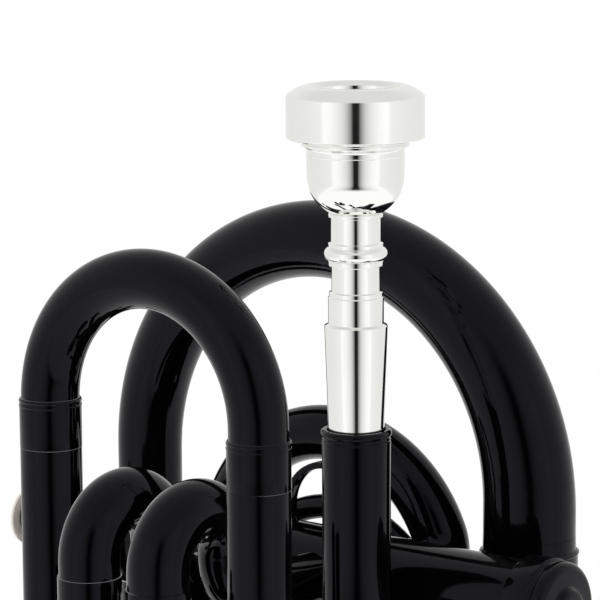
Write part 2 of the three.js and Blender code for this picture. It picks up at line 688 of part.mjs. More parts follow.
// Finger rings, each standing on the tube or casing that carries it; the thumb's is an open arch
const thumbRingZ = valve.firstZ + valve.radius + thumbRing.radius - thumbRing.sink;
add('thumb_ring', cut(
  stripRing(thumbRing, at(thumbRing.x, valve.y, thumbRingZ)),
  clearOfCasing(0),
), blackLacquer);
add('pinky_ring', cut(
  stripRing(pinkyRing, at(pinkyRing.x, valve.y, valveZ(2) - valve.radius - pinkyRing.radius)),
  clearOfCasing(2),
), blackLacquer);
const slideRingX = thirdSlide.legXs[0] - tubeRadius - slideRing.radius;
add('third_slide_ring', cut(
  stripRing(slideRing, at(slideRingX, valve.y, thirdSleeveEnd - slideRing.drop)),
  straight(at(thirdSlide.legXs[0], valve.y, thirdSleeveEnd), front, thirdSlide.bendDrop, tubeRadius + gap),
), blackLacquer);

// Braces: a rod with a round foot at each end, cut to the pieces it joins
function makeBrace(from, to, fromSeat, toSeat) {
  const run = to.clone().sub(from);
  const heading = run.clone().normalize();
  const rod = straight(from, heading, run.length(), brace.radius, 0, smallSides);
  const foot = (centre, way, seat) => straight(centre, way, seat.radius + gap + brace.footHeight,
    brace.footRadius, 0, smallSides);
  const feet = join(foot(from, heading, fromSeat), foot(to, heading.clone().negate(), toSeat));
  return cut(join(rod, feet), fromSeat.cutter, toSeat.cutter);
}
const postSeat = (x, y, radius, sides = tubeSides) => ({
  radius, cutter: straight(at(x, y, 0), front, -bell.rimZ, radius + gap, 0, sides),
});
const casingSeat = { radius: valve.radius, cutter: clearOfCasing(1) };
const leadpipeSeat = postSeat(0, 0, leadpipe.startRadius);
add('leadpipe_brace', makeBrace(
  at(0, 0, brace.leadpipeZ), at(lowerLegX, tuning.y, brace.leadpipeZ),
  leadpipeSeat, postSeat(lowerLegX, tuning.y, sleeveRadius),
), blackLacquer);
add('leadpipe_valve_brace', makeBrace(
  at(0, 0, valveZ(1)), at(0, valve.y, valveZ(1)), leadpipeSeat, casingSeat,
), blackLacquer);
add('bow_brace', makeBrace(
  at(middleLegX, middleBow.y, brace.bowZ), at(bigLegX, bigBow.y, brace.bowZ),
  postSeat(middleLegX, middleBow.y, middleBow.radius), postSeat(bigLegX, bigBow.y, bigBow.startRadius),
), blackLacquer);
add('bell_brace', makeBrace(
  at(bellX, valve.y, brace.bellZ), at(bellX, bigBow.y, brace.bellZ),
  casingSeat, postSeat(bellX, bigBow.y, bellRadiusAt(brace.bellZ - brace.footRadius), bellSides),
), blackLacquer);

// Arched rod inside the middle bow, from its long leg to its turned end
function makeArchRod() {
  const a = archRod;
  const route = new Route(at(a.x - a.bend, a.y, a.z), rear)
    .arc(a.bend, 2 * quarter * a.sweepShare, along.x);
  return cut(tube(route, a.radius, 0, smallSides), tube(middleRoute(), middleBow.radius + gap));
}
add('arch_rod', makeArchRod(), blackLacquer);

// Knuckles between the casings
[0, 1].forEach((i) => {
  const knuckle = straight(casingAxis(i, knuckleX), front, valve.pitch, tubeRadius, tubeRadius - tubeWall);
  add(`valve_knuckle_${i + 1}_${i + 2}`, cut(knuckle, clearOfCasing(i), clearOfCasing(i + 1)), blackLacquer);
});

// Valves. Each port is [place along X, the way it faces]; passages join two ports of the piston.
const entrySurfaceX = upperLegX
  + entryRun.x * (valve.y - valve.radius - tuning.y) / (valve.y - tuning.y);
const valvePorts = [
  { idle: [[middlePortX, right], [knuckleX, front]], loop: firstSlide.legXs.map((x) => [x, left]), swap: true },
  { idle: [[knuckleX, rear], [knuckleX, front]], loop: secondSlide.legXs.map((x) => [x, right]), swap: false },
  {
    idle: [[entrySurfaceX, left], [knuckleX, rear]], loop: thirdSlide.legXs.map((x) => [x, front]),
    swap: false,
  },
];
const portCutter = ([x, way]) => straight(at(x, 0, 0), way, valve.radius + overrun, tubeRadius - tubeWall);

function passage(first, second, shift) {
  const outer = valve.radius + gap;
  const from = first[1].clone().multiplyScalar(outer).setX(first[0] - shift);
  const to = second[1].clone().multiplyScalar(outer).setX(second[0] - shift);
  const middle = at((from.x + to.x) / 2, 0, 0);
  const route = new THREE.QuadraticBezierCurve3(from, middle, to);
  const settings = {
    steps: passageSteps, extrudePath: route, curveSegments: passageSides / 2, bevelEnabled: false,
  };
  return toSolid(new THREE.ExtrudeGeometry(circle(valve.passageRadius), settings));
}

function makeCasing(ports) {
  const v = valve;
  const bore = v.radius - v.wall;
  const barrel = turnedAlongX([[bore, v.top], [v.radius, v.top], [v.radius, v.bottom], [bore, v.bottom],
    [bore, v.top]]);
  return cut(barrel, ...[...ports.idle, ...ports.loop].map(portCutter));
}

// Piston with its straight-through passage and the two that send the air round the loop
function makePiston({ idle, loop, swap }) {
  const v = valve;
  const radius = v.radius - v.wall - gap;
  const body = turnedAlongX([[0, v.pistonTop], [radius, v.pistonTop], [radius, v.pistonBottom],
    [radius - v.pistonWall, v.pistonBottom], [radius - v.pistonWall, v.pistonBottom - overrun],
    [0, v.pistonBottom - overrun]]);
  const [first, second] = swap ? [loop[1], loop[0]] : loop;
  return cut(body, passage(idle[0], idle[1], 0), passage(idle[0], first, v.stroke),
    passage(idle[1], second, v.stroke));
}

function makeTopCap() {
  const v = valve;
  const outerTop = v.top - v.topCapHeight;
  const skirtEnd = v.top + v.capSkirt;
  const skirtBore = v.radius + gap;
  return turnedAlongX([
    [v.capHoleRadius, outerTop - v.capNoseHeight],
    [v.capNoseRadius, outerTop - v.capNoseHeight],
    [v.capNoseRadius, outerTop],
    [v.capRadius - v.capWall, outerTop],
    [v.capRadius, outerTop + v.capWall],
    [v.capRadius, v.top - v.capWall],
    [v.capRadius + v.capGripRadius, v.top],
    [v.capRadius + v.capGripRadius, skirtEnd],
    [skirtBore, skirtEnd],
    [skirtBore, v.top - gap],
    [v.radius - v.wall, v.top - gap],
    [v.radius - v.wall, outerTop + v.capWall],
    [v.capHoleRadius, outerTop + v.capWall],
    [v.capHoleRadius, outerTop - v.capNoseHeight],
  ]);
}

function makeBottomCap() {
  const v = valve;
  const outerEnd = v.bottom + v.bottomCapHeight;
  const skirtStart = v.bottom - v.capSkirt;
  const skirtBore = v.radius + gap;
  return turnedAlongX([
    [skirtBore, skirtStart],
    [v.capRadius + v.capGripRadius, skirtStart],
    [v.capRadius + v.capGripRadius, v.bottom],
    [v.capRadius, v.bottom + v.capWall],
    [v.capRadius - v.capWall, outerEnd],
    [v.capNoseRadius, outerEnd],
    [v.capHoleRadius, outerEnd + v.capNoseHeight],
    [v.capHoleRadius, v.bottom + gap],
    [skirtBore, v.bottom + gap],
    [skirtBore, skirtStart],
  ]);
}

// Button places: the felt under the button lands on the top cap at the end of the stroke
const capFace = valve.top - valve.topCapHeight - valve.capNoseHeight;
const feltFace = capFace - valve.stroke - gap;
const buttonFace = feltFace - valve.feltHeight - gap;
function makeButton() {
  const v = valve;
  const buttonTop = buttonFace - v.buttonHeight;
  return turnedAlongX([
    [0, v.pistonTop - gap],
    [v.stemRadius, v.pistonTop - gap],
    [v.stemRadius, buttonFace],
    [v.buttonNeckRadius, buttonFace],
    [v.buttonRadius, buttonFace - v.buttonNeckHeight],
    [v.buttonRadius, buttonTop],
    [v.pearlRadius + gap, buttonTop],
    [v.pearlRadius + gap, buttonTop + v.pearlRecess],
    [0, buttonTop + v.pearlRecess],
  ]);
}

function makePearl() {
  const v = valve;
  const seat = buttonFace - v.buttonHeight + v.pearlRecess - gap;
  return turnedAlongX([
    [0, seat],
    [v.pearlRadius, seat],
    [v.pearlRadius, seat - v.pearlRecess],
    [v.pearlRadius / 2, seat - v.pearlHeight + gap],
    [0, seat - v.pearlHeight],
  ]);
}

const makeFelt = () => turnedAlongX([
  [valve.stemRadius + gap, feltFace - valve.feltHeight],
  [valve.feltRadius, feltFace - valve.feltHeight],
  [valve.feltRadius, feltFace],
  [valve.stemRadius + gap, feltFace],
  [valve.stemRadius + gap, feltFace - valve.feltHeight],
]);

// Valve spring: one unbroken coil between the piston and the bottom cap
class SpringCurve extends THREE.Curve {
  getPoint(t) {
    const room = valve.springWire + gap;
    const start = valve.pistonBottom + room;
    const end = valve.bottom + gap - room;
    const angle = 4 * quarter * valve.springTurns * t;
    return at(start + (end - start) * t, valve.springRadius * Math.cos(angle),
      valve.springRadius * Math.sin(angle));
  }

  getPointAt(t) {
    return this.getPoint(t);
  }

  getTangentAt(t) {
    return this.getTangent(t);
  }
}
function makeSpring() {
  const settings = {
    steps: springStepsPerTurn * valve.springTurns,
    extrudePath: new SpringCurve(),
    curveSegments: springSides / 2,
    bevelEnabled: false,
  };
  return toSolid(new THREE.ExtrudeGeometry(circle(valve.springWire), settings));
}

valvePorts.forEach((ports, i) => {
  const block = new THREE.Group();
  block.position.copy(casingAxis(i, 0));
  trumpet.add(block);
  const n = i + 1;
  add(`valve_casing_${n}`, makeCasing(ports), blackLacquer, block);
  add(`top_cap_${n}`, makeTopCap(), blackLacquer, block);
  add(`bottom_cap_${n}`, makeBottomCap(), blackLacquer, block);
  add(`piston_${n}`, makePiston(ports), monel, block);
  add(`finger_button_${n}`, makeButton(), blackLacquer, block);
  add(`button_pearl_${n}`, makePearl(), pearl, block);
  add(`button_felt_${n}`, makeFelt(), felt, block);
  add(`valve_spring_${n}`, makeSpring(), springSteel, block);
});

// The instrument stands on its bell rim, over the middle of its footprint
const bounds = new THREE.Box3().setFromObject(trumpet);
const middle = bounds.getCenter(new THREE.Vector3());
trumpet.position.set(-middle.x, -middle.y, -bounds.min.z);

export default trumpet;
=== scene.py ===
import bpy
import bmesh
import json
import math
from mathutils import Matrix, Quaternion, Vector


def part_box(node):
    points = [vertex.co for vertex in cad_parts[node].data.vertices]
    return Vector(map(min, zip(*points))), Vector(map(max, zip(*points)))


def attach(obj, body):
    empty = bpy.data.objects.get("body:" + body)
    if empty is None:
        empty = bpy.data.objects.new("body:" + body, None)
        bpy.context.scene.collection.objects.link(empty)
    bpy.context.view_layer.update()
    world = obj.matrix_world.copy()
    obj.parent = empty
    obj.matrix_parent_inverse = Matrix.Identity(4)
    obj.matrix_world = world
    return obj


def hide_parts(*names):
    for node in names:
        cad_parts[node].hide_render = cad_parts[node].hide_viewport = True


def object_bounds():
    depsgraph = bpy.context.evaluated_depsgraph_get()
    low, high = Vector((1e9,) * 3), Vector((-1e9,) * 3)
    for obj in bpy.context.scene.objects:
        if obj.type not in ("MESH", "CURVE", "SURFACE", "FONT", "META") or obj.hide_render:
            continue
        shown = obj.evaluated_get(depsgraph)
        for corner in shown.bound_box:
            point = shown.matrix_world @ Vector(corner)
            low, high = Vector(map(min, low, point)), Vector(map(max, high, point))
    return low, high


# Pocket trumpet, black lacquer with a silver mouthpiece, in metres
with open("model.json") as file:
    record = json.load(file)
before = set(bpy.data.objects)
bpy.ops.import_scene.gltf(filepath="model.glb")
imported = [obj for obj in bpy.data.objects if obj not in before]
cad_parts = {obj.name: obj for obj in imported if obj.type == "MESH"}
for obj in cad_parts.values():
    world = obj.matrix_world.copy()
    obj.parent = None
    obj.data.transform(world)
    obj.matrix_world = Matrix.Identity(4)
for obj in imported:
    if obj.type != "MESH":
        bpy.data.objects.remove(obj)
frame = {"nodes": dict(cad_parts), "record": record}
cadLow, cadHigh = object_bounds()
mm = 0.001
quarterTurn = math.pi / 2
print("frame loaded:", len(frame["nodes"]), "nodes")

axisX, axisY, axisZ = Vector((1, 0, 0)), Vector((0, 1, 0)), Vector((0, 0, 1))

# every place below is in mm from a point on the leadpipe's axis, this far above the bell's rim
axisHeight = 195
receiverLow, receiverHigh = (Vector(corner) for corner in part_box("mouthpiece_receiver"))
receiverMiddle = (receiverLow + receiverHigh) / 2
rim = Vector((receiverMiddle.x, receiverMiddle.y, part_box("bell")[0][2] + axisHeight * mm))


def place(x, y, z):
    return rim + Vector((x, y, z)) * mm


# node helpers
def mappedNoise(nodes, links, scale, detail, stretch=(1, 1, 1), roughness=0.5, distortion=0):
    where = nodes.new("ShaderNodeTexCoord")
    mapping = nodes.new("ShaderNodeMapping")
    mapping.inputs["Scale"].default_value = stretch
    noise = nodes.new("ShaderNodeTexNoise")
    noise.inputs["Scale"].default_value = scale
    noise.inputs["Detail"].default_value = detail
    noise.inputs["Roughness"].default_value = roughness
    noise.inputs["Distortion"].default_value = distortion
    links.new(where.outputs["Object"], mapping.inputs["Vector"])
    links.new(mapping.outputs["Vector"], noise.inputs["Vector"])
    return noise.outputs["Fac"]


def rangeOf(nodes, links, source, start, end, low, high):
    ramp = nodes.new("ShaderNodeMapRange")
    ramp.inputs["From Min"].default_value = start
    ramp.inputs["From Max"].default_value = end
    ramp.inputs["To Min"].default_value = low
    ramp.inputs["To Max"].default_value = high
    links.new(source, ramp.inputs["Value"])
    return ramp.outputs["Result"]


def mixColors(nodes, links, factor, under, over):
    mix = nodes.new("ShaderNodeMix")
    mix.data_type = "RGBA"
    if isinstance(under, tuple):
        mix.inputs["A"].default_value = (*under, 1)
    else:
        links.new(under, mix.inputs["A"])
    mix.inputs["B"].default_value = (*over, 1)
    links.new(factor, mix.inputs["Factor"])
    return mix.outputs["Result"]


def mixShaders(nodes, links, factor, first, second):
    mix = nodes.new("ShaderNodeMixShader")
    for i, source in enumerate((factor, first, second)):
        links.new(source, mix.inputs[i])
    return mix.outputs["Shader"]


# values are sockets or numbers
def calculate(nodes, links, operation, *values):
    step = nodes.new("ShaderNodeMath")
    step.operation = operation
    for i, value in enumerate(values):
        if isinstance(value, (int, float)):
            step.inputs[i].default_value = value
        else:
            links.new(value, step.inputs[i])
    return step.outputs["Value"]


# materials: colour and roughness follow the clouds, relief follows the grain or else the clouds too
toneRange = (0.35, 0.65)


def makeFinish(name, m):
    material = bpy.data.materials.new(name)
    material.use_nodes = True
    nodes, links = material.node_tree.nodes, material.node_tree.links
    shader = nodes["Principled BSDF"]
    clouds = mappedNoise(nodes, links, **m["clouds"])
    color = mixColors(nodes, links, clouds, m["dark"], m["light"])
    if "dust" in m:
        dust = mappedNoise(nodes, links, **m["dust"])
        dustShare = rangeOf(nodes, links, dust, *m["dustRange"], 0, m["dustLight"])
        color = mixColors(nodes, links, dustShare, color, m["dustColor"])
    links.new(color, shader.inputs["Base Color"])
    if "roughness" in m:
        links.new(rangeOf(nodes, links, clouds, *toneRange, *m["roughness"]), shader.inputs["Roughness"])
    if "depth" in m:
        bump = nodes.new("ShaderNodeBump")
        bump.inputs["Distance"].default_value = m["depth"]
        bump.inputs["Strength"].default_value = m["strength"]
        grain = mappedNoise(nodes, links, **m["grain"]) if "grain" in m else clouds
        links.new(grain, bump.inputs["Height"])
        links.new(bump.outputs["Normal"], shader.inputs["Normal"])
    for socket, value in m["sockets"].items():
        shader.inputs[socket].default_value = value
    return material


blackLacquer = makeFinish("blackLacquer", dict(
    dark=(0.0006, 0.0006, 0.0008), light=(0.0018, 0.0017, 0.0021), clouds=dict(scale=38, detail=4),
    roughness=(0.045, 0.085), grain=dict(scale=420, detail=2), depth=0.00012, strength=0.1,
    dust=dict(scale=2600, detail=0), dustRange=(0.74, 0.8), dustLight=0.004, dustColor=(0.5, 0.49, 0.47),
    sockets={"IOR": 1.25, "Specular Tint": (0.84, 0.82, 1, 1)}))
silverPlate = makeFinish("silverPlate", dict(
    dark=(0.875, 0.872, 0.84), light=(0.935, 0.945, 0.915), clouds=dict(scale=60, detail=5),
    roughness=(0.03, 0.075), grain=dict(scale=900, detail=2, stretch=(1, 1, 14)), depth=0.00002,
    strength=0.08, sockets={"Metallic": 1}))
motherOfPearl = makeFinish("motherOfPearl", dict(
    dark=(0.58, 0.53, 0.44), light=(0.82, 0.78, 0.69),
    clouds=dict(scale=260, detail=5, stretch=(0.4, 1, 1), distortion=5), depth=0.00003, strength=0.2,
    sockets={"Roughness": 0.22, "Coat Weight": 0.6, "Coat Roughness": 0.05, "Sheen Weight": 0.15}))
honedNickel = makeFinish("honedNickel", dict(
    dark=(0.46, 0.44, 0.41), light=(0.66, 0.64, 0.6), clouds=dict(scale=700, detail=3, stretch=(10, 1, 1)),
    roughness=(0.18, 0.36), depth=0.00003, strength=0.3, sockets={"Metallic": 1}))
springWire = makeFinish("springWire", dict(
    dark=(0.4, 0.4, 0.41), light=(0.62, 0.62, 0.63), clouds=dict(scale=500, detail=3), roughness=(0.22, 0.4),
    sockets={"Metallic": 1}))
blackFelt = makeFinish("blackFelt", dict(
    dark=(0.012, 0.012, 0.013), light=(0.05, 0.05, 0.052), clouds=dict(scale=1900, detail=8, roughness=0.7),
    depth=0.0003, strength=0.9, sockets={"Roughness": 0.95, "Sheen Weight": 0.4}))
cork = makeFinish("cork", dict(
    dark=(0.30, 0.18, 0.09), light=(0.55, 0.37, 0.2), clouds=dict(scale=900, detail=6, roughness=0.65),
    depth=0.0002, strength=0.7, sockets={"Roughness": 0.85}))
print("materials made")


# modelling helpers
def deselectAll():
    if bpy.context.object and bpy.context.object.mode == "EDIT":
        bpy.ops.object.mode_set(mode="OBJECT")
    bpy.ops.object.select_all(action="DESELECT")


def pick(*pieces):
    deselectAll()
    for piece in pieces:
        piece.select_set(True)
    bpy.context.view_layer.objects.active = pieces[0]


def startRing(name, where, heading, radius, sides):
    deselectAll()
    turn = heading.to_track_quat("Z", "Y").to_euler()
    bpy.ops.mesh.primitive_circle_add(vertices=sides, radius=radius, location=where, rotation=turn)
    piece = bpy.context.object
    piece.name = name
    bpy.ops.object.transform_apply(location=True, rotation=True, scale=True)
    bpy.ops.object.mode_set(mode="EDIT")
    bpy.ops.mesh.select_mode(type="EDGE")
    bpy.ops.mesh.select_all(action="SELECT")
    return piece


def growRing(step, ratio=1.0, centre=None):
    bpy.ops.mesh.extrude_edges_move(TRANSFORM_OT_translate={"value": step})
    if abs(ratio - 1) > 1e-6:
        bpy.ops.transform.resize(value=(ratio, ratio, ratio), center_override=centre)


def finishPiece(piece, material, body, replaced, smoothAngle=40):
    pick(piece)
    bpy.ops.object.shade_smooth_by_angle(angle=math.radians(smoothAngle))
    piece.data.materials.clear()
    piece.data.materials.append(material)
    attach(piece, body)
    if replaced:
        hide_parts(*replaced)


def applyModifier(piece, kind, **settings):
    modifier = piece.modifiers.new(kind.lower(), kind)
    for key, value in settings.items():
        setattr(modifier, key, value)
    pick(piece)
    bpy.ops.object.modifier_apply(modifier=modifier.name)


def faceOutward(piece, inside):
    bpy.ops.object.mode_set(mode="EDIT")
    bpy.ops.mesh.select_all(action="SELECT")
    bpy.ops.mesh.remove_doubles(threshold=1e-6)
    bpy.ops.mesh.normals_make_consistent(inside=False)
    mesh = bmesh.from_edit_mesh(piece.data)
    face = min(mesh.faces, key=lambda one: (one.calc_center_median() - inside).length)
    if face.normal.dot(face.calc_center_median() - inside) < 0:
        bpy.ops.mesh.flip_normals()
    bpy.ops.object.mode_set(mode="OBJECT")


# a tube run through straight lines and bends, in mm; each run may end at a new radius
def bentTube(name, start, heading, radius, wall, runs, sides=40, stepAngle=math.radians(4)):
    piece = startRing(name, start, heading, radius * mm, sides)
    here, along, size = start.copy(), heading.normalized(), radius
    for kind, length, *more in runs:
        if kind == "line":
            endRadius = more[0] if more else size
            here = here + along * length * mm
            growRing(along * length * mm, endRadius / size, here)
        else:
            angle, toward = more[:2]
            endRadius = more[2] if len(more) > 2 else size
            steps = max(4, round(angle / stepAngle))
            centre = here + toward * length * mm
            axis = along.cross(toward).normalized()
            ratio = (endRadius / size) ** (1 / steps)
            turn = Matrix.Rotation(angle / steps, 3, axis)
            tapered = abs(ratio - 1) > 1e-6
            if not tapered:
                bpy.ops.mesh.spin(steps=steps, angle=-angle, center=centre, axis=axis)
            for _ in range(steps):
                here = centre + turn @ (here - centre)
                along = turn @ along
                if tapered:
                    bpy.ops.mesh.spin(steps=1, angle=-angle / steps, center=centre, axis=axis)
                    bpy.ops.transform.resize(value=(ratio,) * 3, center_override=here)
        size = endRadius
    bpy.ops.object.mode_set(mode="OBJECT")
    faceOutward(piece, start)
    applyModifier(piece, "SOLIDIFY", thickness=wall * mm, offset=-1, use_even_offset=False)
    return piece, here, along


# a turned piece: profile points are (radius, distance along the axis) in mm, outside first, then back inside
def turnedPiece(name, profile, foot, heading, sides=64, bevel=0.12, closed=True):
    profile = [(radius * mm, level * mm) for radius, level in profile]
    size, height = profile[0]
    along = heading.normalized()
    piece = startRing(name, foot + along * height, along, size, sides)
    if not closed:
        bpy.ops.mesh.edge_face_add()
        bpy.ops.mesh.select_all(action="SELECT")
    for radius, level in profile[1:]:
        centre = foot + along * level
        growRing(along * (level - height), radius / size, centre)
        size, height = radius, level
    if not closed:
        bpy.ops.mesh.edge_face_add()
    bpy.ops.mesh.select_all(action="SELECT")
    bpy.ops.mesh.remove_doubles(threshold=1e-7)
    bpy.ops.mesh.normals_make_consistent(inside=False)
    bpy.ops.object.mode_set(mode="OBJECT")
    if bevel:
        applyModifier(piece, "BEVEL", width=bevel * mm, segments=3, limit_method="ANGLE",
                      angle_limit=math.radians(25), use_clamp_overlap=True)
    return piece


def arcPoints(centreRadius, centreLevel, bend, startAngle, endAngle, steps):
    points = []
    for i in range(steps + 1):
        angle = math.radians(startAngle + (endAngle - startAngle) * i / steps)
        points.append((centreRadius + bend * math.cos(angle), centreLevel + bend * math.sin(angle)))
    return points


def joinInto(main, *others):
    pick(main, *others)
    bpy.ops.object.join()
    return main


# mouthpiece
mouthpieceSizes = dict(
    rimRadius=13.6, bandTop=67.2, bandBottom=59.4, edgeBend=1.1, footBend=0.3,
    crown=((11.9, 68.92), (10.9, 69.4), (10.2, 69.63), (9.6, 69.7), (9.3, 69.6), (9.16, 69.3), (8.6, 68.75)),
    lipRadius=10.6, lipMiddle=58.2, lipHalf=0.45, coveRadius=9.95, coveTop=57.6, coveFoot=56.75,
    cupRadius=9.6, cupTop=56.05, beadHeight=0.34, cupFoot=44.55, cupFootRadius=5.0, cupSwell=4.1,
    collarRadius=5.35, collarTop=44.4, collarBottom=43.9, neckRadius=4.88, ringRadius=5.4, ringTop=38.85,
    ringBottom=38.0, beadRadius=6.28, beadMiddle=36.6, beadHalf=1.35, lowerRingTop=35.15,
    lowerRingBottom=34.3, lowerNeckRadius=4.8, stepTop=28.95, stepBottom=28.15, stepRadius=5.3,
    bodyRadius=5.5, bodyBottom=22.75, shankTop=22.15, shankRadius=6.27, shankBend=0.35, taper=0.0335,
    insertion=19.6, biteRadius=8.5, bowlTop=67.6, cupDepth=12, throatRadius=1.9, throatEnd=50.0,
    backboreRadius=4.1)


def makeMouthpiece():
    s = mouthpieceSizes
    endRadius = s["shankRadius"] - s["taper"] * (s["shankTop"] + s["insertion"])
    outside = [(endRadius, -s["insertion"])]
    outside += arcPoints(s["shankRadius"] - s["shankBend"], s["shankTop"], s["shankBend"], 0, 75, 6)
    outside += [(s["bodyRadius"], s["bodyBottom"]), (s["bodyRadius"], s["stepBottom"] - 0.2),
                (s["stepRadius"], s["stepBottom"]), (s["stepRadius"], s["stepTop"]),
                (s["lowerNeckRadius"], s["stepTop"] + 0.15),
                (s["lowerNeckRadius"], s["lowerRingBottom"] - 0.2),
                (s["ringRadius"], s["lowerRingBottom"]), (s["ringRadius"], s["lowerRingTop"])]
    beadCentre = s["beadRadius"] - s["beadHalf"]
    outside += arcPoints(beadCentre, s["beadMiddle"], s["beadHalf"], -75, 75, 12)
    outside += [(s["ringRadius"], s["ringBottom"]), (s["ringRadius"], s["ringTop"] - 0.2),
                (s["neckRadius"], s["ringTop"]), (s["neckRadius"], s["collarBottom"] - 0.1),
                (s["collarRadius"], s["collarBottom"]), (s["collarRadius"], s["collarTop"])]
    swellHeight = s["cupTop"] - s["cupFoot"]
    for i in range(27):
        rise = (i / 26) ** 1.25
        swell = 1 - (1 - rise) ** s["cupSwell"]
        outside.append((s["cupFootRadius"] + (s["cupRadius"] - s["cupFootRadius"]) * swell,
                        s["cupFoot"] + swellHeight * rise))
    bead = s["beadHeight"] / 2
    outside += arcPoints(s["cupRadius"] - bead / 2, s["cupTop"] + bead, bead, -60, 60, 6)
    coveWidth, coveHeight = s["coveRadius"] - s["cupRadius"], s["coveTop"] - s["coveFoot"]
    for i in range(7):
        angle = quarterTurn * i / 6
        outside.append((s["cupRadius"] + coveWidth * (1 - math.cos(angle)),
                        s["coveFoot"] + coveHeight * math.sin(angle)))
    outside += arcPoints(s["lipRadius"] - s["lipHalf"], s["lipMiddle"], s["lipHalf"], -65, 65, 10)
    edge, foot = s["edgeBend"], s["footBend"]
    outside += arcPoints(s["rimRadius"] - foot, s["bandBottom"] + foot, foot, -75, 0, 5)
    outside += arcPoints(s["rimRadius"] - edge, s["bandTop"], edge, 0, 62, 8)
    outside += s["crown"]
    inside = []
    for i in range(0, 17):
        angle = quarterTurn * i / 16
        inside.append((s["throatRadius"] + (s["biteRadius"] - s["throatRadius"]) * math.cos(angle),
                       s["bowlTop"] - s["cupDepth"] * math.sin(angle)))
    inside += [(s["throatRadius"], s["throatEnd"]), (s["backboreRadius"], -s["insertion"]),
               (endRadius, -s["insertion"])]
    piece = turnedPiece("mouthpieceSilver", outside + inside, rim, axisZ, 128, 0.07)
    finishPiece(piece, silverPlate, "mouthpiece", ["mouthpiece"], 30)


makeMouthpiece()
print("mouthpiece made")


# receiver with its rolled lip and fine line
receiverSizes = dict(rimAt=1.5, lipRadius=7.08, lipHeight=1.5, lineDepth=0.14, lineAt=2.3, radius=6.85,
                     length=38, socketTop=5.85, socketFoot=5.05, socketEnd=-20.6, boreRadius=6.3)


def makeReceiver():
    s = receiverSizes
    half = s["lipHeight"] / 2
    top, line = s["rimAt"], s["rimAt"] - s["lineAt"]
    outside = [(s["boreRadius"], -s["length"]), (s["radius"], -s["length"]),
               (s["radius"], line - 0.2), (s["radius"] - s["lineDepth"], line - 0.05),
               (s["radius"] - s["lineDepth"], line + 0.12), (s["radius"], line + 0.25)]
    outside += arcPoints(s["lipRadius"] - half, top - half, half, -70, 80, 16)
    outside += [(s["socketTop"] + 0.15, top), (s["socketTop"], top - 0.2), (s["socketFoot"], s["socketEnd"]),
                (s["boreRadius"], s["socketEnd"]), (s["boreRadius"], -s["length"])]
    piece = turnedPiece("receiverTube", outside, rim, axisZ, 96, 0.08)
    finishPiece(piece, blackLacquer, "trumpet", ["mouthpiece_receiver"], 35)


makeReceiver()

# tubing sizes shared by the bows and slides
tubing = dict(radius=6.1, wall=0.6, sleeve=6.4, sleeveWall=0.45, leg=5.65, legWall=0.5, ferruleExtra=0.45,
              ferruleLength=10, beadRadius=0.28, gap=0.3, seam=0.06, slideWall=0.7, overlap=2)


def ferrule(name, foot, heading, tubeRadius, length=None, beads=True):
    t = tubing
    length = length or t["ferruleLength"]
    outer = tubeRadius + t["ferruleExtra"]
    points = [(tubeRadius - 0.1, 0), (outer, 0), (outer, length - 2.6)]
    if beads:
        points += arcPoints(outer - 0.05, length - 2.0, t["beadRadius"], -90, 90, 6)
        points += arcPoints(outer - 0.05, length - 0.6, t["beadRadius"], -90, 90, 6)
    points += [(outer - 0.1, length), (tubeRadius - 0.1, length), (tubeRadius - 0.1, 0)]
    return turnedPiece(name, points, foot, heading, 48, 0.05)


def lacquerPiece(piece, body, *nodes):
    finishPiece(piece, blackLacquer, body, list(nodes))


# leadpipe
leadpipeSizes = dict(startRadius=6.0, startAt=-20.9, taperStart=-60, end=-95, wall=0.6)


def makeLeadpipe():
    s = leadpipeSizes
    piece, _, _ = bentTube("leadpipeTube", place(0, 0, s["startAt"]), -axisZ, s["startRadius"], s["wall"],
                           [("line", s["startAt"] - s["taperStart"]),
                            ("line", s["taperStart"] - s["end"], tubing["radius"])])
    lacquerPiece(piece, "trumpet", "leadpipe")


makeLeadpipe()

# tuning slide
tuning = dict(y=-31.5, midX=-26.2, bend=26.7, bendZ=6.4, bowRadius=5.87, ferruleRadius=6.24,
              sleeveRadius=6.2, upperTop=6.8, upperFoot=-3.2, lowerTop=4.7, lowerFoot=-4.9, legEnd=-50,
              upperEnd=-58, lowerEnd=-70, bead=0.12, beadDrops=(1.5, 0.5), overlap=1, lowerOverlap=0.7)
upperX = tuning["midX"] - tuning["bend"]
lowerX = tuning["midX"] + tuning["bend"]


def makeTuningSlide():
    s, t = tuning, tubing
    bow, _, _ = bentTube("tuningBow", place(upperX, s["y"], s["bendZ"] - s["overlap"]), axisZ,
                         s["bowRadius"], t["wall"],
                         [("line", s["overlap"]), ("arc", s["bend"], math.pi, axisX),
                          ("line", s["bendZ"] - s["lowerTop"] + s["lowerOverlap"])],
                         sides=64, stepAngle=math.radians(3))
    lacquerPiece(bow, "tuning_slide", "tuning_slide_bow")
    bow.visible_glossy = False
    outer, bore = s["ferruleRadius"], t["leg"] - t["legWall"]
    for x, side in ((upperX, "upper"), (lowerX, "lower")):
        top, foot = s[side + "Top"], s[side + "Foot"]
        points = [(bore, s["legEnd"]), (t["leg"], s["legEnd"]), (t["leg"], foot), (outer, foot),
                  (outer, top - 1.7)]
        for drop in s["beadDrops"]:
            points += arcPoints(outer - 0.02, top - drop, s["bead"], -80, 80, 6)
        points += [(outer - 0.03, top - 0.2), (outer - 0.2, top), (s["bowRadius"] + 0.02, top),
                   (s["bowRadius"] - t["wall"], top), (bore, foot), (bore, s["legEnd"])]
        leg = turnedPiece("tuningLeg" + side.title(), points, place(x, s["y"], 0), axisZ, 64, 0.05)
        lacquerPiece(leg, "tuning_slide", f"tuning_slide_{side}_leg")
        leg.visible_glossy = False


makeTuningSlide()


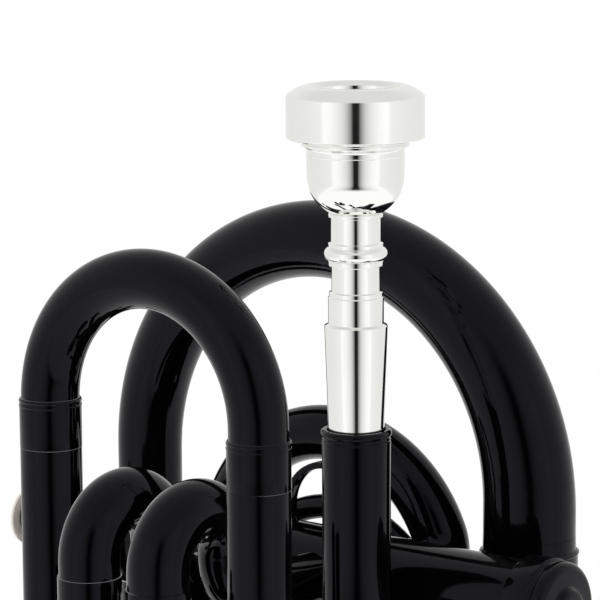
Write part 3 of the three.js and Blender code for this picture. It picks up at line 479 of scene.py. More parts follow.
def makeSleeve(name, node, top, heading, length, ferruleAtFoot=True, radius=tubing["sleeve"]):
    t = tubing
    tube, end, along = bentTube(name, top, heading, radius, t["sleeveWall"], [("line", length)], sides=64)
    if ferruleAtFoot:
        tube = joinInto(tube, ferrule(name + "Ferrule", end, -along, t["sleeve"]))
    lacquerPiece(tube, "trumpet", node)
    return tube


for x, side in ((upperX, "upper"), (lowerX, "lower")):
    sleeveTop = tuning[side + "Foot"] - tubing["seam"]
    sleeve = makeSleeve("tuningSleeve" + side.title(), f"tuning_{side}_sleeve",
                        place(x, tuning["y"], sleeveTop), -axisZ, sleeveTop - tuning[side + "End"],
                        radius=tuning["sleeveRadius"])
    sleeve.visible_glossy = False
print("leadpipe and tuning slide made")

# valves: places shared by the tubes that enter the casings
valve = dict(y=18, firstZ=-34.2, pitch=27, radius=9.3, wall=0.75, sink=0.4, fit=0.3, top=-75, bottom=34,
             capRadius=10.3, capGrip=0.35, capSkirt=5, capRound=1.8, topGroove=0.35, bottomGroove=0.3,
             topCapHeight=8, noseRadius=5.6, noseHeight=1.4, holeRadius=2.5, bottomCapHeight=4.2, stroke=17,
             stemRadius=2, feltRadius=5, feltHeight=2, feltGap=0.3, feltEdge=0.4, buttonRadius=6.6,
             neckRadius=4, neckHeight=0.2, pearlHeight=0.8, pearlDome=0.2, pearlEdge=0.3, pistonTop=-71)
portInset = valve["radius"] - valve["sink"]


def valveZ(i):
    return valve["firstZ"] - valve["pitch"] * i


# front bow of the leadpipe
leadpipeBow = dict(start=-95.3, bottom=-126, returnTop=-70.3, keyZ=-112)

# water keys: profiles are (radius, height), the blocks' sides are thickness, width and length
waterKey = dict(
    standoff=4.2, padReach=12, seatSink=0.3, earHeight=5.6, earRoot=1.2, earWidth=1.0, earLength=3.4,
    earSpread=2.8, earFlare=(1, 1.3, 2), earEdge=0.3, pinReach=3.8, barrelHalf=2,
    nipple=((1.3, 0), (3.0, 0), (3.0, 0.5), (2.6, 0.9), (2.6, 2.2), (1.3, 2.2), (1.3, 0)),
    pin=((0.9, 0), (1.15, 0.3), (1.15, 0.7), (0.7, 0.8), (0.7, 6.8), (1.15, 6.9), (1.15, 7.3),
         (0.9, 7.6)),
    barrel=((1.0, 0), (1.5, 0.1), (1.5, 3.9), (1.0, 4.0), (1.0, 0)),
    plate=(1.1, 3.2, 24), plateLift=0.95, plateCuts=6, plateRoot=1.15, plateTaper=0.45, plateCurl=0.5,
    plateEdge=0.25, thumbAt=(0.7, 0, 11.6), cupLift=2.7, padLift=2,
    thumb=((3.0, 0), (3.35, 0.3), (3.35, 0.7), (2.9, 1.1), (1.5, 0.75), (0.4, 0.65)),
    cup=((3.0, 0), (3.0, 1.6), (2.4, 2.4), (1.2, 2.7)),
    pad=((2.75, 0), (2.85, 0.25), (2.85, 0.7), (2.75, 0.75)))


def makeBlock(name, where, sides):
    deselectAll()
    bpy.ops.mesh.primitive_cube_add(size=1, location=where)
    block = bpy.context.object
    block.name = name
    block.scale = [side * mm for side in sides]
    bpy.ops.object.transform_apply(location=True, rotation=True, scale=True)
    bpy.ops.object.mode_set(mode="EDIT")
    bpy.ops.mesh.select_mode(type="FACE")
    return block


# the nipple that the pad closes, two ears and the pin that the lever turns on
def keySeat(name, x, y, z):
    s, t = waterKey, tubing
    nipple = turnedPiece(name + "Nipple", s["nipple"],
                         place(x + t["radius"] - s["seatSink"], y, z - s["padReach"]), axisX, 40, 0.1)
    ears = []
    earSides = (s["earHeight"] + s["earRoot"], s["earWidth"], s["earLength"])
    rootX = x + t["radius"] - s["earRoot"]
    for way, side in ((-1, "Left"), (1, "Right")):
        earY = y + way * s["earSpread"]
        ear = makeBlock(name + "Ear" + side, place(rootX + earSides[0] / 2, earY, z), earSides)
        bpy.ops.mesh.select_all(action="DESELECT")
        mesh = bmesh.from_edit_mesh(ear.data)
        for face in mesh.faces:
            face.select = face.normal.x < -0.9
        bmesh.update_edit_mesh(ear.data)
        bpy.ops.transform.resize(value=s["earFlare"], center_override=place(rootX, earY, z))
        bpy.ops.object.mode_set(mode="OBJECT")
        applyModifier(ear, "BEVEL", width=s["earEdge"] * mm, segments=3)
        ears.append(ear)
    pin = turnedPiece(name + "Pin", s["pin"], place(x + t["radius"] + s["standoff"], y - s["pinReach"], z),
                      axisY, 32, 0.05, closed=False)
    return [nipple, *ears, pin]


def makeLeadpipeBow():
    s, t = leadpipeBow, tubing
    run = Vector((lowerX, tuning["y"], 0))
    start = place(0, 0, s["start"])
    bow, end, _ = bentTube("leadpipeBow", start, -axisZ, t["radius"], t["wall"],
                           [("line", s["start"] - s["bottom"]),
                            ("arc", run.length / 2, math.pi, run.normalized()),
                            ("line", s["returnTop"] - s["bottom"])])
    down = axisZ * t["ferruleLength"] * mm
    rings = [ferrule("leadpipeBowFerrule1", start - down, axisZ, t["radius"]),
             ferrule("leadpipeBowFerrule2", end - down, axisZ, t["radius"])]
    bow = joinInto(bow, *rings, *keySeat("leadpipeKeySeat", 0, 0, s["keyZ"]))
    lacquerPiece(bow, "trumpet", "leadpipe_bow")


makeLeadpipeBow()


# a tapered lever that curls up at the thumb, with a cork pad under its cup
def makeWaterKey(name, node, x, y, z):
    s, t = waterKey, tubing
    pivot = place(x + t["radius"] + s["standoff"], y, z)
    barrel = turnedPiece(name + "Barrel", s["barrel"], pivot - axisY * s["barrelHalf"] * mm, axisY, 32, 0.08)
    plate = makeBlock(name, pivot + axisX * s["plateLift"] * mm, s["plate"])
    bpy.ops.mesh.select_all(action="SELECT")
    bpy.ops.mesh.subdivide(number_cuts=s["plateCuts"])
    mesh = bmesh.from_edit_mesh(plate.data)
    for vert in mesh.verts:
        share = abs(vert.co.z - pivot.z) / (s["padReach"] * mm)
        vert.co.y = pivot.y + (vert.co.y - pivot.y) * (s["plateRoot"] - s["plateTaper"] * share)
        if vert.co.z > pivot.z:
            vert.co.x += s["plateCurl"] * mm * share * share
    bmesh.update_edit_mesh(plate.data)
    bpy.ops.object.mode_set(mode="OBJECT")
    applyModifier(plate, "BEVEL", width=s["plateEdge"] * mm, segments=2, limit_method="ANGLE")
    thumb = turnedPiece(name + "Thumb", s["thumb"], pivot + Vector(s["thumbAt"]) * mm, axisX, 40,
                        0.08, closed=False)
    cup = turnedPiece(name + "Cup", s["cup"], place(x + t["radius"] + s["cupLift"], y, z - s["padReach"]),
                      axisX, 40, 0.08, closed=False)
    finishPiece(joinInto(plate, barrel, thumb, cup), silverPlate, node, [node])
    pad = turnedPiece(name + "Cork", s["pad"], place(x + t["radius"] + s["padLift"], y, z - s["padReach"]),
                      axisX, 40, 0.08, closed=False)
    finishPiece(pad, cork, node, [])


makeWaterKey("leadpipeKey", "leadpipe_water_key", 0, 0, leadpipeBow["keyZ"])


# tube into the third valve
entryTube = dict(bend=16, portX=-33.5)


def makeEntryTube():
    s, t = entryTube, tubing
    run = Vector((s["portX"] - upperX, valve["y"] - tuning["y"], 0))
    start = place(upperX, tuning["y"], tuning["upperEnd"] - t["gap"])
    drop = tuning["upperEnd"] - t["gap"] - valveZ(2) - s["bend"]
    piece, _, _ = bentTube("thirdValveEntry", start, -axisZ, t["radius"], t["wall"],
                           [("line", drop), ("arc", s["bend"], quarterTurn, run.normalized()),
                            ("line", run.length - s["bend"] - portInset)])
    lacquerPiece(piece, "trumpet", "third_valve_entry_tube")


makeEntryTube()

# middle bow, on the bell side
middleBow = dict(x=-32.3, y=35, z=-39.3, bend=30, elbow=7.7, end=-84, radius=5.8)
middleReach = math.hypot(middleBow["bend"], middleBow["elbow"])
middleTilt = (math.asin((valve["firstZ"] - middleBow["z"]) / middleReach)
              + math.atan2(middleBow["elbow"], middleBow["bend"]))
middlePortX = (middleBow["x"] + middleBow["bend"] * math.cos(middleTilt)
               + middleBow["elbow"] * math.sin(middleTilt))
middleLegX = middleBow["x"] - middleBow["bend"]


def makeMiddleBow():
    s, t = middleBow, tubing
    rise = Vector((-math.sin(middleTilt), 0, math.cos(middleTilt)))
    toCentre = Vector((-math.cos(middleTilt), 0, -math.sin(middleTilt)))
    lead = s["y"] - s["elbow"] - valve["y"]
    start = place(middlePortX, valve["y"] + portInset, valve["firstZ"])
    piece, _, _ = bentTube("middleBowTube", start, axisY, s["radius"], t["wall"],
                           [("line", lead - portInset), ("arc", s["elbow"], quarterTurn, rise),
                            ("arc", s["bend"], math.pi - middleTilt, toCentre),
                            ("line", s["z"] - s["end"])], sides=56, stepAngle=math.radians(3.5))
    lacquerPiece(piece, "trumpet", "middle_bow")


makeMiddleBow()

# front bow and big bow
frontBow = dict(bottom=-120, endRadius=6.9, growth=0.2)
bigBow = dict(x=-37.7, y=41, z=-20.3, bend=51.5, startRadius=7.2, endRadius=9.6, end=-26, wall=0.7)
bigLegX = bigBow["x"] - bigBow["bend"]


def makeFrontBow():
    s, t = frontBow, tubing
    run = Vector((bigLegX - middleLegX, bigBow["y"] - middleBow["y"], 0))
    top = middleBow["end"] - t["gap"]
    start = place(middleLegX, middleBow["y"], top)
    piece, end, _ = bentTube("frontBowTube", start, -axisZ, middleBow["radius"], t["wall"],
                             [("line", top - s["bottom"], middleBow["radius"] + s["growth"]),
                              ("arc", run.length / 2, math.pi, run.normalized(),
                               s["endRadius"] - s["growth"]),
                              ("line", middleBow["end"] - s["bottom"], s["endRadius"])])
    down = axisZ * t["ferruleLength"] * mm
    rings = [ferrule("frontBowFerrule1", start - down, axisZ, middleBow["radius"]),
             ferrule("frontBowFerrule2", end - down, axisZ, s["endRadius"])]
    lacquerPiece(joinInto(piece, *rings), "trumpet", "front_bow")


makeFrontBow()


def makeBigBow():
    s = bigBow
    startZ = middleBow["end"] + tubing["gap"]
    piece, _, _ = bentTube("bigBowTube", place(bigLegX, s["y"], startZ), axisZ, frontBow["endRadius"],
                           s["wall"],
                           [("line", s["z"] - startZ, s["startRadius"]),
                            ("arc", s["bend"], math.pi, axisX, s["endRadius"]),
                            ("line", s["z"] - s["end"])], sides=72, stepAngle=math.radians(2.5))
    lacquerPiece(piece, "trumpet", "big_bow")


makeBigBow()
print("bows made")

# bell
bell = dict(rimZ=-axisHeight, rimRadius=48, wall=0.8, bead=1.3, flare=0.5, collarDrop=8, collarExtra=0.5,
            collarHalf=4, collarHead=5.2)
bellX = bigBow["x"] + bigBow["bend"]
bellTop = bigBow["end"] - tubing["seam"]
bellLength = bellTop - bell["rimZ"]
flareOffset = bellLength / ((bell["rimRadius"] / bigBow["endRadius"]) ** (1 / bell["flare"]) - 1)


def bellRadiusAt(height):
    return bell["rimRadius"] * (flareOffset / (height + flareOffset)) ** bell["flare"]


def makeBell():
    s = bell
    stations = 44
    heights = [bellLength * (1 - i / stations) ** 2 for i in range(stations)]
    heights = [max(height, 2 * s["bead"]) for height in heights if height > 2.2 * s["bead"]]
    outside, inside = [], []
    for height in heights:
        radius = bellRadiusAt(height)
        slope = radius * s["flare"] / (height + flareOffset)
        outside.append((radius, height))
        inside.append((radius - s["wall"] * math.hypot(1, slope), height))
    beadMiddle = s["rimRadius"] - s["bead"]
    rolled = arcPoints(beadMiddle, s["bead"], s["bead"], 100, -80, 14)
    rolled += [(beadMiddle - 0.4, 0), (beadMiddle - s["bead"], 0),
               (beadMiddle - 1.9 * s["bead"], s["bead"] / 2)]
    profile = outside + rolled + inside[::-1] + [outside[0]]
    piece = turnedPiece("bellFlare", profile, place(bellX, bigBow["y"], s["rimZ"]), axisZ, 128, 0)
    throat, half, collarHead = bigBow["endRadius"], s["collarHalf"], s["collarHead"]
    outer = throat + s["collarExtra"]
    ring = [(throat - 0.1, -half), (outer, -half), (outer, half)]
    ring += arcPoints(outer - 0.05, half + 0.6, 0.3, -80, 80, 6)
    ring += [(throat + 0.2, collarHead), (throat - 0.1, collarHead), (throat - 0.1, -half)]
    collar = turnedPiece("bellCollar", ring, place(bellX, bigBow["y"], bellTop - s["collarDrop"]), axisZ,
                         64, 0.05)
    lacquerPiece(joinInto(piece, collar), "trumpet", "bell")


makeBell()

# first valve slide: crooks on the player's left, and the slide in front of them
firstSlide = dict(xs=(-36.6, -18.9), bendY=-28, bend=10.8, bendZ=-23.2, sleeveTop=-26, sleeveEnd=-50,
                  legTop=-30, ferruleLength=3.5, straight=3.3)
firstFarY = firstSlide["bendY"] + firstSlide["bend"]
firstNearY = firstSlide["bendY"] - firstSlide["bend"]
firstElbow = firstSlide["bendZ"] - valve["firstZ"]


def makeCrook(x, name, node):
    s, t = firstSlide, tubing
    start = place(x, valve["y"] - portInset, valve["firstZ"])
    piece, end, _ = bentTube(name, start, -axisY, t["radius"], t["wall"],
                             [("line", valve["y"] - portInset - firstFarY - firstElbow),
                              ("arc", firstElbow, quarterTurn, axisZ),
                              ("arc", s["bend"], math.pi, -axisY),
                              ("line", s["bendZ"] - s["sleeveTop"])], sides=64)
    sleeve, foot, _ = bentTube(name + "Sleeve", end, -axisZ, t["sleeve"], t["sleeveWall"],
                               [("line", s["sleeveTop"] - s["sleeveEnd"])])
    ring = ferrule(name + "Ferrule", foot, axisZ, t["sleeve"], s["ferruleLength"], False)
    crook = joinInto(piece, sleeve, ring)
    lacquerPiece(crook, "trumpet", node)
    crook.visible_glossy = False


for x, side in zip(firstSlide["xs"], ("upper", "lower")):
    makeCrook(x, "firstCrook" + side.title(), f"first_valve_{side}_crook")


# a U-shaped slide: two thin legs, a ferrule at each and a bow
def makeSlide(name, legStarts, heading, legLength, endLength, across):
    t = tubing
    pieces = []
    bowStart = legStarts[0] + heading * (legLength + t["gap"]) * mm
    bend = (legStarts[1] - legStarts[0]).length / 2 / mm
    bow, _, _ = bentTube(name, bowStart, heading, t["radius"], t["slideWall"],
                         [("line", endLength), ("arc", bend, math.pi, across), ("line", endLength)])
    for i, start in enumerate(legStarts):
        leg, _, _ = bentTube(f"{name}Leg{i}", start, heading, t["leg"], t["legWall"],
                             [("line", legLength + t["overlap"])])
        foot = start + heading * (legLength + t["gap"]) * mm
        ring = ferrule(f"{name}Ferrule{i}", foot, heading, t["radius"], min(endLength, 6), False)
        pieces += [leg, ring]
    return joinInto(bow, *pieces)


firstBow = makeSlide("firstSlideBow", [place(x, firstNearY, firstSlide["legTop"]) for x in firstSlide["xs"]],
                     -axisZ, firstSlide["legTop"] - firstSlide["sleeveEnd"], firstSlide["straight"], axisX)
lacquerPiece(firstBow, "first_valve_slide", "first_valve_slide")

# second valve slide with its pull knob
secondSlide = dict(xs=(-38, -18), sleeveEnd=49, legStart=30, straight=3.3, knobSink=0.5,
                   knob=((2.6, 0), (1.6, 0.8), (1.6, 2), (2.9, 2.6), (3, 3.6), (2.9, 4.9), (2.2, 5.5),
                         (0.8, 5.7)))
for i, x in enumerate(secondSlide["xs"]):
    makeSleeve(f"secondSleeve{i + 1}", f"second_valve_sleeve_{i + 1}",
               place(x, valve["y"] + portInset, valveZ(1)), axisY,
               secondSlide["sleeveEnd"] - valve["y"] - portInset, False)


def makeSecondSlide():
    s = secondSlide
    starts = [place(x, s["legStart"], valveZ(1)) for x in s["xs"]]
    slide = makeSlide("secondSlideBow", starts, axisY, s["sleeveEnd"] - s["legStart"], s["straight"], axisX)
    knobY = (s["sleeveEnd"] + tubing["gap"] + s["straight"] + (s["xs"][1] - s["xs"][0]) / 2
             + tubing["radius"] - s["knobSink"])
    knob = turnedPiece("secondSlideKnob", s["knob"], place(sum(s["xs"]) / 2, knobY, valveZ(1)), axisY, 48,
                       0.1, closed=False)
    lacquerPiece(joinInto(slide, knob), "second_valve_slide", "second_valve_slide")


makeSecondSlide()

# third valve slide with its sleeves and water key
thirdSlide = dict(xs=(-47, -30), sleeveEnd=-125, legTop=-102, bendZ=-141, keyZ=-130)
for i, x in enumerate(thirdSlide["xs"]):
    makeSleeve(f"thirdSleeve{i + 1}", f"third_valve_sleeve_{i + 1}",
               place(x, valve["y"], valveZ(2) - portInset), -axisZ,
               valveZ(2) - portInset - thirdSlide["sleeveEnd"], False)


def makeThirdSlide():
    s = thirdSlide
    starts = [place(x, valve["y"], s["legTop"]) for x in s["xs"]]
    slide = makeSlide("thirdSlideBow", starts, -axisZ, s["legTop"] - s["sleeveEnd"],
                      s["sleeveEnd"] - tubing["gap"] - s["bendZ"], axisX)
    seat = keySeat("thirdKeySeat", s["xs"][1], valve["y"], s["keyZ"])
    lacquerPiece(joinInto(slide, *seat), "third_valve_slide", "third_valve_slide")


makeThirdSlide()
makeWaterKey("thirdSlideKey", "third_slide_water_key", thirdSlide["xs"][1], valve["y"], thirdSlide["keyZ"])
print("valve slides made")


# finger rings
def makeRing(name, node, body, centre, size):
    radius, half = size["radius"], size["width"] / 2
    low, side, flat = radius - size["strip"], radius - 0.1, half * 0.5
    points = [(low, -half), (side, -half), (radius, -flat), (radius, flat), (side, half), (low, half),
              (low - 0.15, flat), (low - 0.15, -flat), (low, -half)]
    ring = turnedPiece(name, points, centre, axisY, 96, 0.2)
    lacquerPiece(ring, body, node)


thumbRing = dict(x=-21, sink=7.2, radius=10.5, strip=1.3, width=3)
pinkyRing = dict(x=-63.6, radius=9.3, strip=1.2, width=6)
slideRing = dict(x=-64.4, z=-134, radius=11.3, strip=1.4, width=6)
ringRise = valve["radius"] + thumbRing["radius"] - thumbRing["sink"]
makeRing("thumbRingStrip", "thumb_ring", "trumpet",
         place(thumbRing["x"], valve["y"], valve["firstZ"] + ringRise), thumbRing)
makeRing("pinkyRingStrip", "pinky_ring", "trumpet",
         place(pinkyRing["x"], valve["y"], valveZ(2) - valve["radius"] - pinkyRing["radius"]), pinkyRing)
makeRing("slideRingStrip", "third_slide_ring", "third_valve_slide",
         place(slideRing["x"], valve["y"], slideRing["z"]), slideRing)


# braces: a rod with a turned foot at each end
def makeBraceRod(name, node, start, end, radius=2.0, foot=3.4):
    run = end - start
    length = run.length / mm
    if length < 5:
        half = [(foot, 0), (foot, 0.4), (radius, length * 0.45)]
    else:
        half = [(foot, 0), (foot, 0.5), (radius + 0.35, 1.1), (radius, min(2, length / 2 - 0.1))]
    points = half + [(size, length - level) for size, level in half[::-1]]
    rod = turnedPiece(name, points, start, run.normalized(), 40, 0.1, closed=False)
    lacquerPiece(rod, "trumpet", node)


brace = dict(leadpipeZ=-48, bowZ=-76, bellZ=-61.2, leadpipeSide=5.8, sleeveSide=6.15, valveSide=9.1,
             middleSide=5.6, bigSide=6.8, bellSink=0.3)
makeBraceRod("leadpipeBraceRod", "leadpipe_brace", place(0.1, -brace["leadpipeSide"], brace["leadpipeZ"]),
             place(lowerX - 0.1, tuning["y"] + brace["sleeveSide"], brace["leadpipeZ"]))
makeBraceRod("leadpipeValveBraceRod", "leadpipe_valve_brace", place(0, brace["leadpipeSide"], valveZ(1)),
             place(0, valve["y"] - brace["valveSide"], valveZ(1)))
bowRun = Vector((bigLegX - middleLegX, bigBow["y"] - middleBow["y"], 0)).normalized()
makeBraceRod("bowBraceRod", "bow_brace",
             place(middleLegX, middleBow["y"], brace["bowZ"]) + bowRun * brace["middleSide"] * mm,
             place(bigLegX, bigBow["y"], brace["bowZ"]) - bowRun * brace["bigSide"] * mm)
bellSide = bellRadiusAt(brace["bellZ"] - bell["rimZ"]) - brace["bellSink"]
makeBraceRod("bellBraceRod", "bell_brace", place(bellX, valve["y"] + brace["valveSide"], brace["bellZ"]),
             place(bellX, bigBow["y"] - bellSide, brace["bellZ"]))

# arched rod inside the middle bow
archRod = dict(x=-28.2, y=31, z=-50.6, bend=26.4, radius=2.6, wall=1.2, sweep=0.78, cut=0.06)


def makeArchRod():
    s = archRod
    piece, _, _ = bentTube("archRodBrace", place(s["x"] - s["bend"], s["y"], s["z"]), axisZ,
                           s["radius"], s["wall"],
                           [("arc", s["bend"], math.pi * (s["sweep"] - s["cut"]), axisX)], sides=32)
    lacquerPiece(piece, "trumpet", "arch_rod")


makeArchRod()
print("rings and braces made")


# valve knuckles, casings, caps, buttons
knuckleX = -21


def makeKnuckle(i):
    start = place(knuckleX, valve["y"], valveZ(i) - portInset)
    tube, _, _ = bentTube(f"knuckle{i + 1}", start, -axisZ, tubing["radius"], tubing["wall"],
                          [("line", valve["pitch"] - 2 * portInset)])
    lacquerPiece(tube, "trumpet", f"valve_knuckle_{i + 1}_{i + 2}")


for i in range(2):
    makeKnuckle(i)


def makeValve(i):
    v = valve
    n = i + 1
    middle = place(0, v["y"], valveZ(i))
    radius, bore, seat = v["radius"], v["radius"] - v["wall"], v["radius"] + v["fit"]
    top, bottom, skirt, bend = v["top"], v["bottom"], v["capSkirt"], v["capRound"]
    cap, grip, nose, hole = v["capRadius"], v["capRadius"] + v["capGrip"], v["noseRadius"], v["holeRadius"]
    points = [(bore, top), (radius, top), (radius, bottom), (bore, bottom), (bore, top)]
    casing = turnedPiece(f"casing{n}", points, middle, axisX, 96, 0)
    lacquerPiece(casing, "trumpet", f"valve_casing_{n}")
    face, groove = top - v["topCapHeight"], cap - v["topGroove"]
    tip = face - v["noseHeight"]
    points = [(hole, tip), (nose - 0.4, tip), (nose, tip + 0.4), (nose + 0.2, face)]
    points += arcPoints(cap - bend, face + bend, bend, -90, 0, 8)
    points += [(cap, top - 2.4), (groove, top - 2), (groove, top - 1.2), (grip, top - 0.8),
               (grip, top + skirt), (seat, top + skirt), (seat, top - v["fit"]), (hole, top - v["fit"]),
               (hole, tip)]
    topCap = turnedPiece(f"topCap{n}", points, middle, axisX, 96, 0.12)
    lacquerPiece(topCap, "trumpet", f"top_cap_{n}")
    end, groove = bottom + v["bottomCapHeight"], cap - v["bottomGroove"]
    endTip = end + v["noseHeight"]
    points = [(seat, bottom - skirt), (grip, bottom - skirt), (grip, bottom + 0.2), (groove, bottom + 0.7),
              (groove, bottom + 1.3), (cap, bottom + 1.7)]
    points += arcPoints(cap - bend, end - bend, bend, 0, 90, 8)
    points += [(nose, end), (nose - 0.8, endTip - 0.3), (nose - 1.6, endTip), (hole, endTip),
               (hole, bottom + v["fit"]), (seat, bottom + v["fit"]), (seat, bottom - skirt)]
    bottomCap = turnedPiece(f"bottomCap{n}", points, middle, axisX, 96, 0.12)
    lacquerPiece(bottomCap, "trumpet", f"bottom_cap_{n}")
    feltFace = tip - v["stroke"] - v["feltGap"]
    feltBack = feltFace - v["feltHeight"]
    buttonFace = feltBack - v["feltGap"]
    pearlFoot = buttonFace - v["neckHeight"]
    pearlTop = pearlFoot - v["pearlHeight"]
    stem, neck, felt, pearl = v["stemRadius"], v["neckRadius"], v["feltRadius"], v["buttonRadius"]
    points = [(stem, v["pistonTop"] - v["fit"]), (stem, buttonFace + 0.6), (neck - 0.6, buttonFace + 0.1),
              (neck, buttonFace - 0.1), (neck + 0.4, pearlFoot)]
    button = turnedPiece(f"button{n}", points, middle, axisX, 72, 0.08, closed=False)
    lacquerPiece(button, f"valve_{n}", f"finger_button_{n}")
    edge = v["pearlEdge"]
    points = arcPoints(pearl - edge, pearlFoot - edge, edge, 90, 0, 6)
    points += arcPoints(pearl - edge, pearlTop + edge, edge, 0, -60, 6)
    for k in range(1, 9):
        angle = quarterTurn * k / 8.4
        points.append(((pearl - 0.4) * math.cos(angle), pearlTop - v["pearlDome"] * math.sin(angle)))
    pearlDisc = turnedPiece(f"pearlDisc{n}", points, middle, axisX, 72, 0, closed=False)
    finishPiece(pearlDisc, motherOfPearl, f"valve_{n}", [f"button_pearl_{n}"], 50)
    hub, corner = stem + 0.2, v["feltEdge"]
    points = [(hub, feltBack), (felt - corner, feltBack), (felt, feltBack + corner),
              (felt, feltFace - corner), (felt - corner, feltFace), (hub, feltFace), (hub, feltBack)]
    washer = turnedPiece(f"feltWasher{n}", points, middle, axisX, 48, 0.1)
    finishPiece(washer, blackFelt, f"valve_{n}", [f"button_felt_{n}"])


for i in range(3):
    makeValve(i)
print("valves made")

# pistons and springs keep their shape and get the finished materials
keptFinishes = dict(monel=honedNickel, spring_steel=springWire)
for entry in frame["record"]["subparts"]:
    material = keptFinishes.get(entry["material_slot"])
    if material:
        data = frame["nodes"][entry["node"]].data
        data.materials.clear()
        data.materials.append(material)

# camera at the photograph's angle and distance
camera = dict(azimuth=38, elevation=9.5, roll=-0.35, focalShare=3200 / 600, sensor=36, depth=633.7,
              rimAt=(356.3, 436), frame=600)


def makeCamera():
    s = camera
    azimuth, elevation = math.radians(s["azimuth"]), math.radians(s["elevation"])
    back = Vector((math.sin(azimuth) * math.cos(elevation), -math.cos(azimuth) * math.cos(elevation),
                   math.sin(elevation)))
    turn = (-back).to_track_quat("-Z", "Y") @ Quaternion(axisZ, math.radians(s["roll"]))
    rightWay, upWay = turn @ axisX, turn @ axisY
    offRight = (s["rimAt"][0] - s["frame"] / 2) / (s["focalShare"] * s["frame"]) * s["depth"]
    offUp = (s["frame"] / 2 - s["rimAt"][1]) / (s["focalShare"] * s["frame"]) * s["depth"]
    where = rim + (back * s["depth"] - rightWay * offRight - upWay * offUp) * mm
    deselectAll()
    bpy.ops.object.camera_add(location=where)
    eye = bpy.context.object
    eye.name = "photoCamera"
    eye.rotation_mode = "QUATERNION"
    eye.rotation_quaternion = turn
    eye.data.lens = s["sensor"] * s["focalShare"]
    eye.data.sensor_width = s["sensor"]
    eye.data.clip_start = 0.02
    eye.data.clip_end = 50
    bpy.context.scene.camera = eye


makeCamera()

# white surroundings with a narrow dark gap between the softboxes, where the photographer stands
studio = dict(level=1.1, diffuseLevel=0.8, gapAzimuth=37.7, gapFoot=(-0.54, -0.47), gapHead=(0.42, 0.72),
              gapSpread=1.6, spreadHeight=0.12, belowLevel=0.98, overheadLevel=0.7, floorHalf=6.0,
              floorColor=0.9, floorFade=(0.16, 0.42), keyAt=(-0.9, -1.0, 1.5), keyPower=14,
              fillAt=(1.2, 0.9, 1.3), fillPower=6, lampAim=(0, 0, 0.12), lampSize=0.9)
# how bright the surroundings are at each angle from the middle of the gap, in degrees
gapLevels = ((0, 0.01), (4.8, 0.015), (7, 0.19), (12.5, 0.45), (17.5, 0.63), (22.5, 0.74), (30, 0.84),
             (38, 0.92), (45, 0.97), (54, 1.0), (61, 0.86), (90, 0.8), (130, 0.78), (180, 0.78))


def makeBackground(nodes, strength):
    background = nodes.new("ShaderNodeBackground")
    background.inputs["Color"].default_value = (1, 1, 1, 1)
    background.inputs["Strength"].default_value = strength
    return background


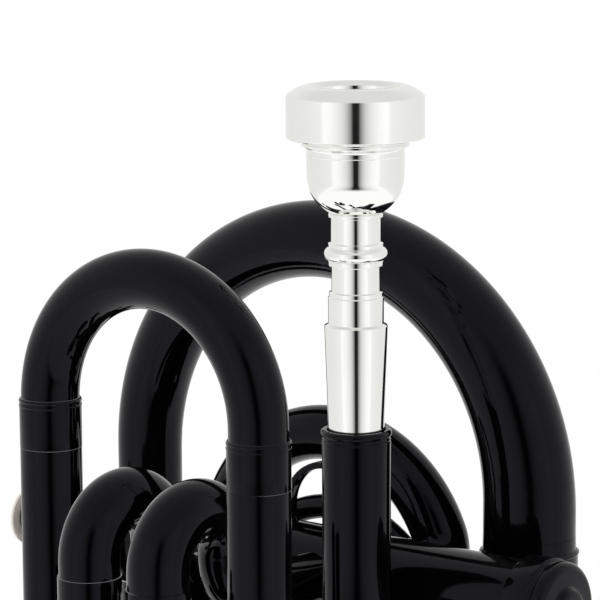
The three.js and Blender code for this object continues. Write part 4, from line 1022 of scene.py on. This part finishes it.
def makeWorld():
    s = studio
    world = bpy.data.worlds.new("studioWhite")
    bpy.context.scene.world = world
    world.use_nodes = True
    nodes, links = world.node_tree.nodes, world.node_tree.links
    nodes.clear()
    where = nodes.new("ShaderNodeTexCoord")
    parts = nodes.new("ShaderNodeSeparateXYZ")
    links.new(where.outputs["Generated"], parts.inputs["Vector"])
    height = parts.outputs["Z"]
    azimuth = math.radians(s["gapAzimuth"])
    heading = calculate(nodes, links, "ARCTAN2", parts.outputs["Y"], parts.outputs["X"])
    away = calculate(nodes, links, "SUBTRACT", heading, math.atan2(-math.cos(azimuth), math.sin(azimuth)))
    wrapped = calculate(nodes, links, "WRAP", away, math.pi, -math.pi)
    size = calculate(nodes, links, "ABSOLUTE", wrapped)
    spread = rangeOf(nodes, links, height, s["gapFoot"][1], s["gapFoot"][1] + s["spreadHeight"],
                     s["gapSpread"], 1)
    narrowed = calculate(nodes, links, "DIVIDE", size, spread)
    ramp = nodes.new("ShaderNodeValToRGB")
    elements = ramp.color_ramp.elements
    for element, (degrees, level) in zip(list(elements), (gapLevels[0], gapLevels[-1])):
        element.position = degrees / 180
        element.color = (level, level, level, 1)
    for degrees, level in gapLevels[1:-1]:
        element = elements.new(degrees / 180)
        element.color = (level, level, level, 1)
    links.new(calculate(nodes, links, "DIVIDE", narrowed, math.pi), ramp.inputs["Fac"])
    below = rangeOf(nodes, links, height, *s["gapFoot"], 1, 0)
    above = rangeOf(nodes, links, height, *s["gapHead"], 0, 1)
    walls = mixColors(nodes, links, below, ramp.outputs["Color"], (s["belowLevel"],) * 3)
    walls = mixColors(nodes, links, above, walls, (s["overheadLevel"],) * 3)
    diffuse = makeBackground(nodes, s["diffuseLevel"])
    glossy = makeBackground(nodes, s["level"])
    seen = makeBackground(nodes, 1)
    links.new(walls, glossy.inputs["Color"])
    rays = nodes.new("ShaderNodeLightPath")
    clear = calculate(nodes, links, "MAXIMUM", rays.outputs["Is Camera Ray"],
                      rays.outputs["Is Transmission Ray"])
    lit = mixShaders(nodes, links, rays.outputs["Is Glossy Ray"], diffuse.outputs[0], glossy.outputs[0])
    out = nodes.new("ShaderNodeOutputWorld")
    links.new(mixShaders(nodes, links, clear, lit, seen.outputs[0]), out.inputs["Surface"])


makeWorld()


# a pale floor that fades to white further out and doesn't show in reflections
def makeFloor():
    s = studio
    deselectAll()
    bpy.ops.mesh.primitive_plane_add(size=2 * s["floorHalf"], location=(0, 0, cadLow.z))
    floor = bpy.context.object
    floor.name = "paleFloor"
    material = bpy.data.materials.new("paleFloor")
    material.use_nodes = True
    nodes, links = material.node_tree.nodes, material.node_tree.links
    nodes.clear()
    matt = nodes.new("ShaderNodeBsdfDiffuse")
    matt.inputs["Color"].default_value = (s["floorColor"],) * 3 + (1,)
    glow = nodes.new("ShaderNodeEmission")
    glow.inputs["Strength"].default_value = 1
    clear = nodes.new("ShaderNodeBsdfTransparent")
    rays = nodes.new("ShaderNodeLightPath")
    where = nodes.new("ShaderNodeTexCoord")
    far = nodes.new("ShaderNodeVectorMath")
    far.operation = "LENGTH"
    links.new(where.outputs["Object"], far.inputs[0])
    fade = rangeOf(nodes, links, far.outputs["Value"], *s["floorFade"], 0, 1)
    shown = mixShaders(nodes, links, fade, matt.outputs[0], glow.outputs[0])
    surface = mixShaders(nodes, links, rays.outputs["Is Glossy Ray"], shown, clear.outputs[0])
    out = nodes.new("ShaderNodeOutputMaterial")
    links.new(surface, out.inputs["Surface"])
    floor.data.materials.append(material)


makeFloor()


def makeLamp(name, where, power):
    deselectAll()
    bpy.ops.object.light_add(type="AREA", location=where)
    lamp = bpy.context.object
    lamp.name = name
    lamp.data.energy = power
    lamp.data.size = studio["lampSize"]
    lamp.rotation_mode = "QUATERNION"
    lamp.rotation_quaternion = (Vector(where) - Vector(studio["lampAim"])).to_track_quat("Z", "Y")
    lamp.visible_camera = False
    lamp.visible_glossy = False


makeLamp("keyLamp", studio["keyAt"], studio["keyPower"])
makeLamp("fillLamp", studio["fillAt"], studio["fillPower"])
bpy.context.scene.view_settings.view_transform = "Standard"
print("camera, floor and lights made")
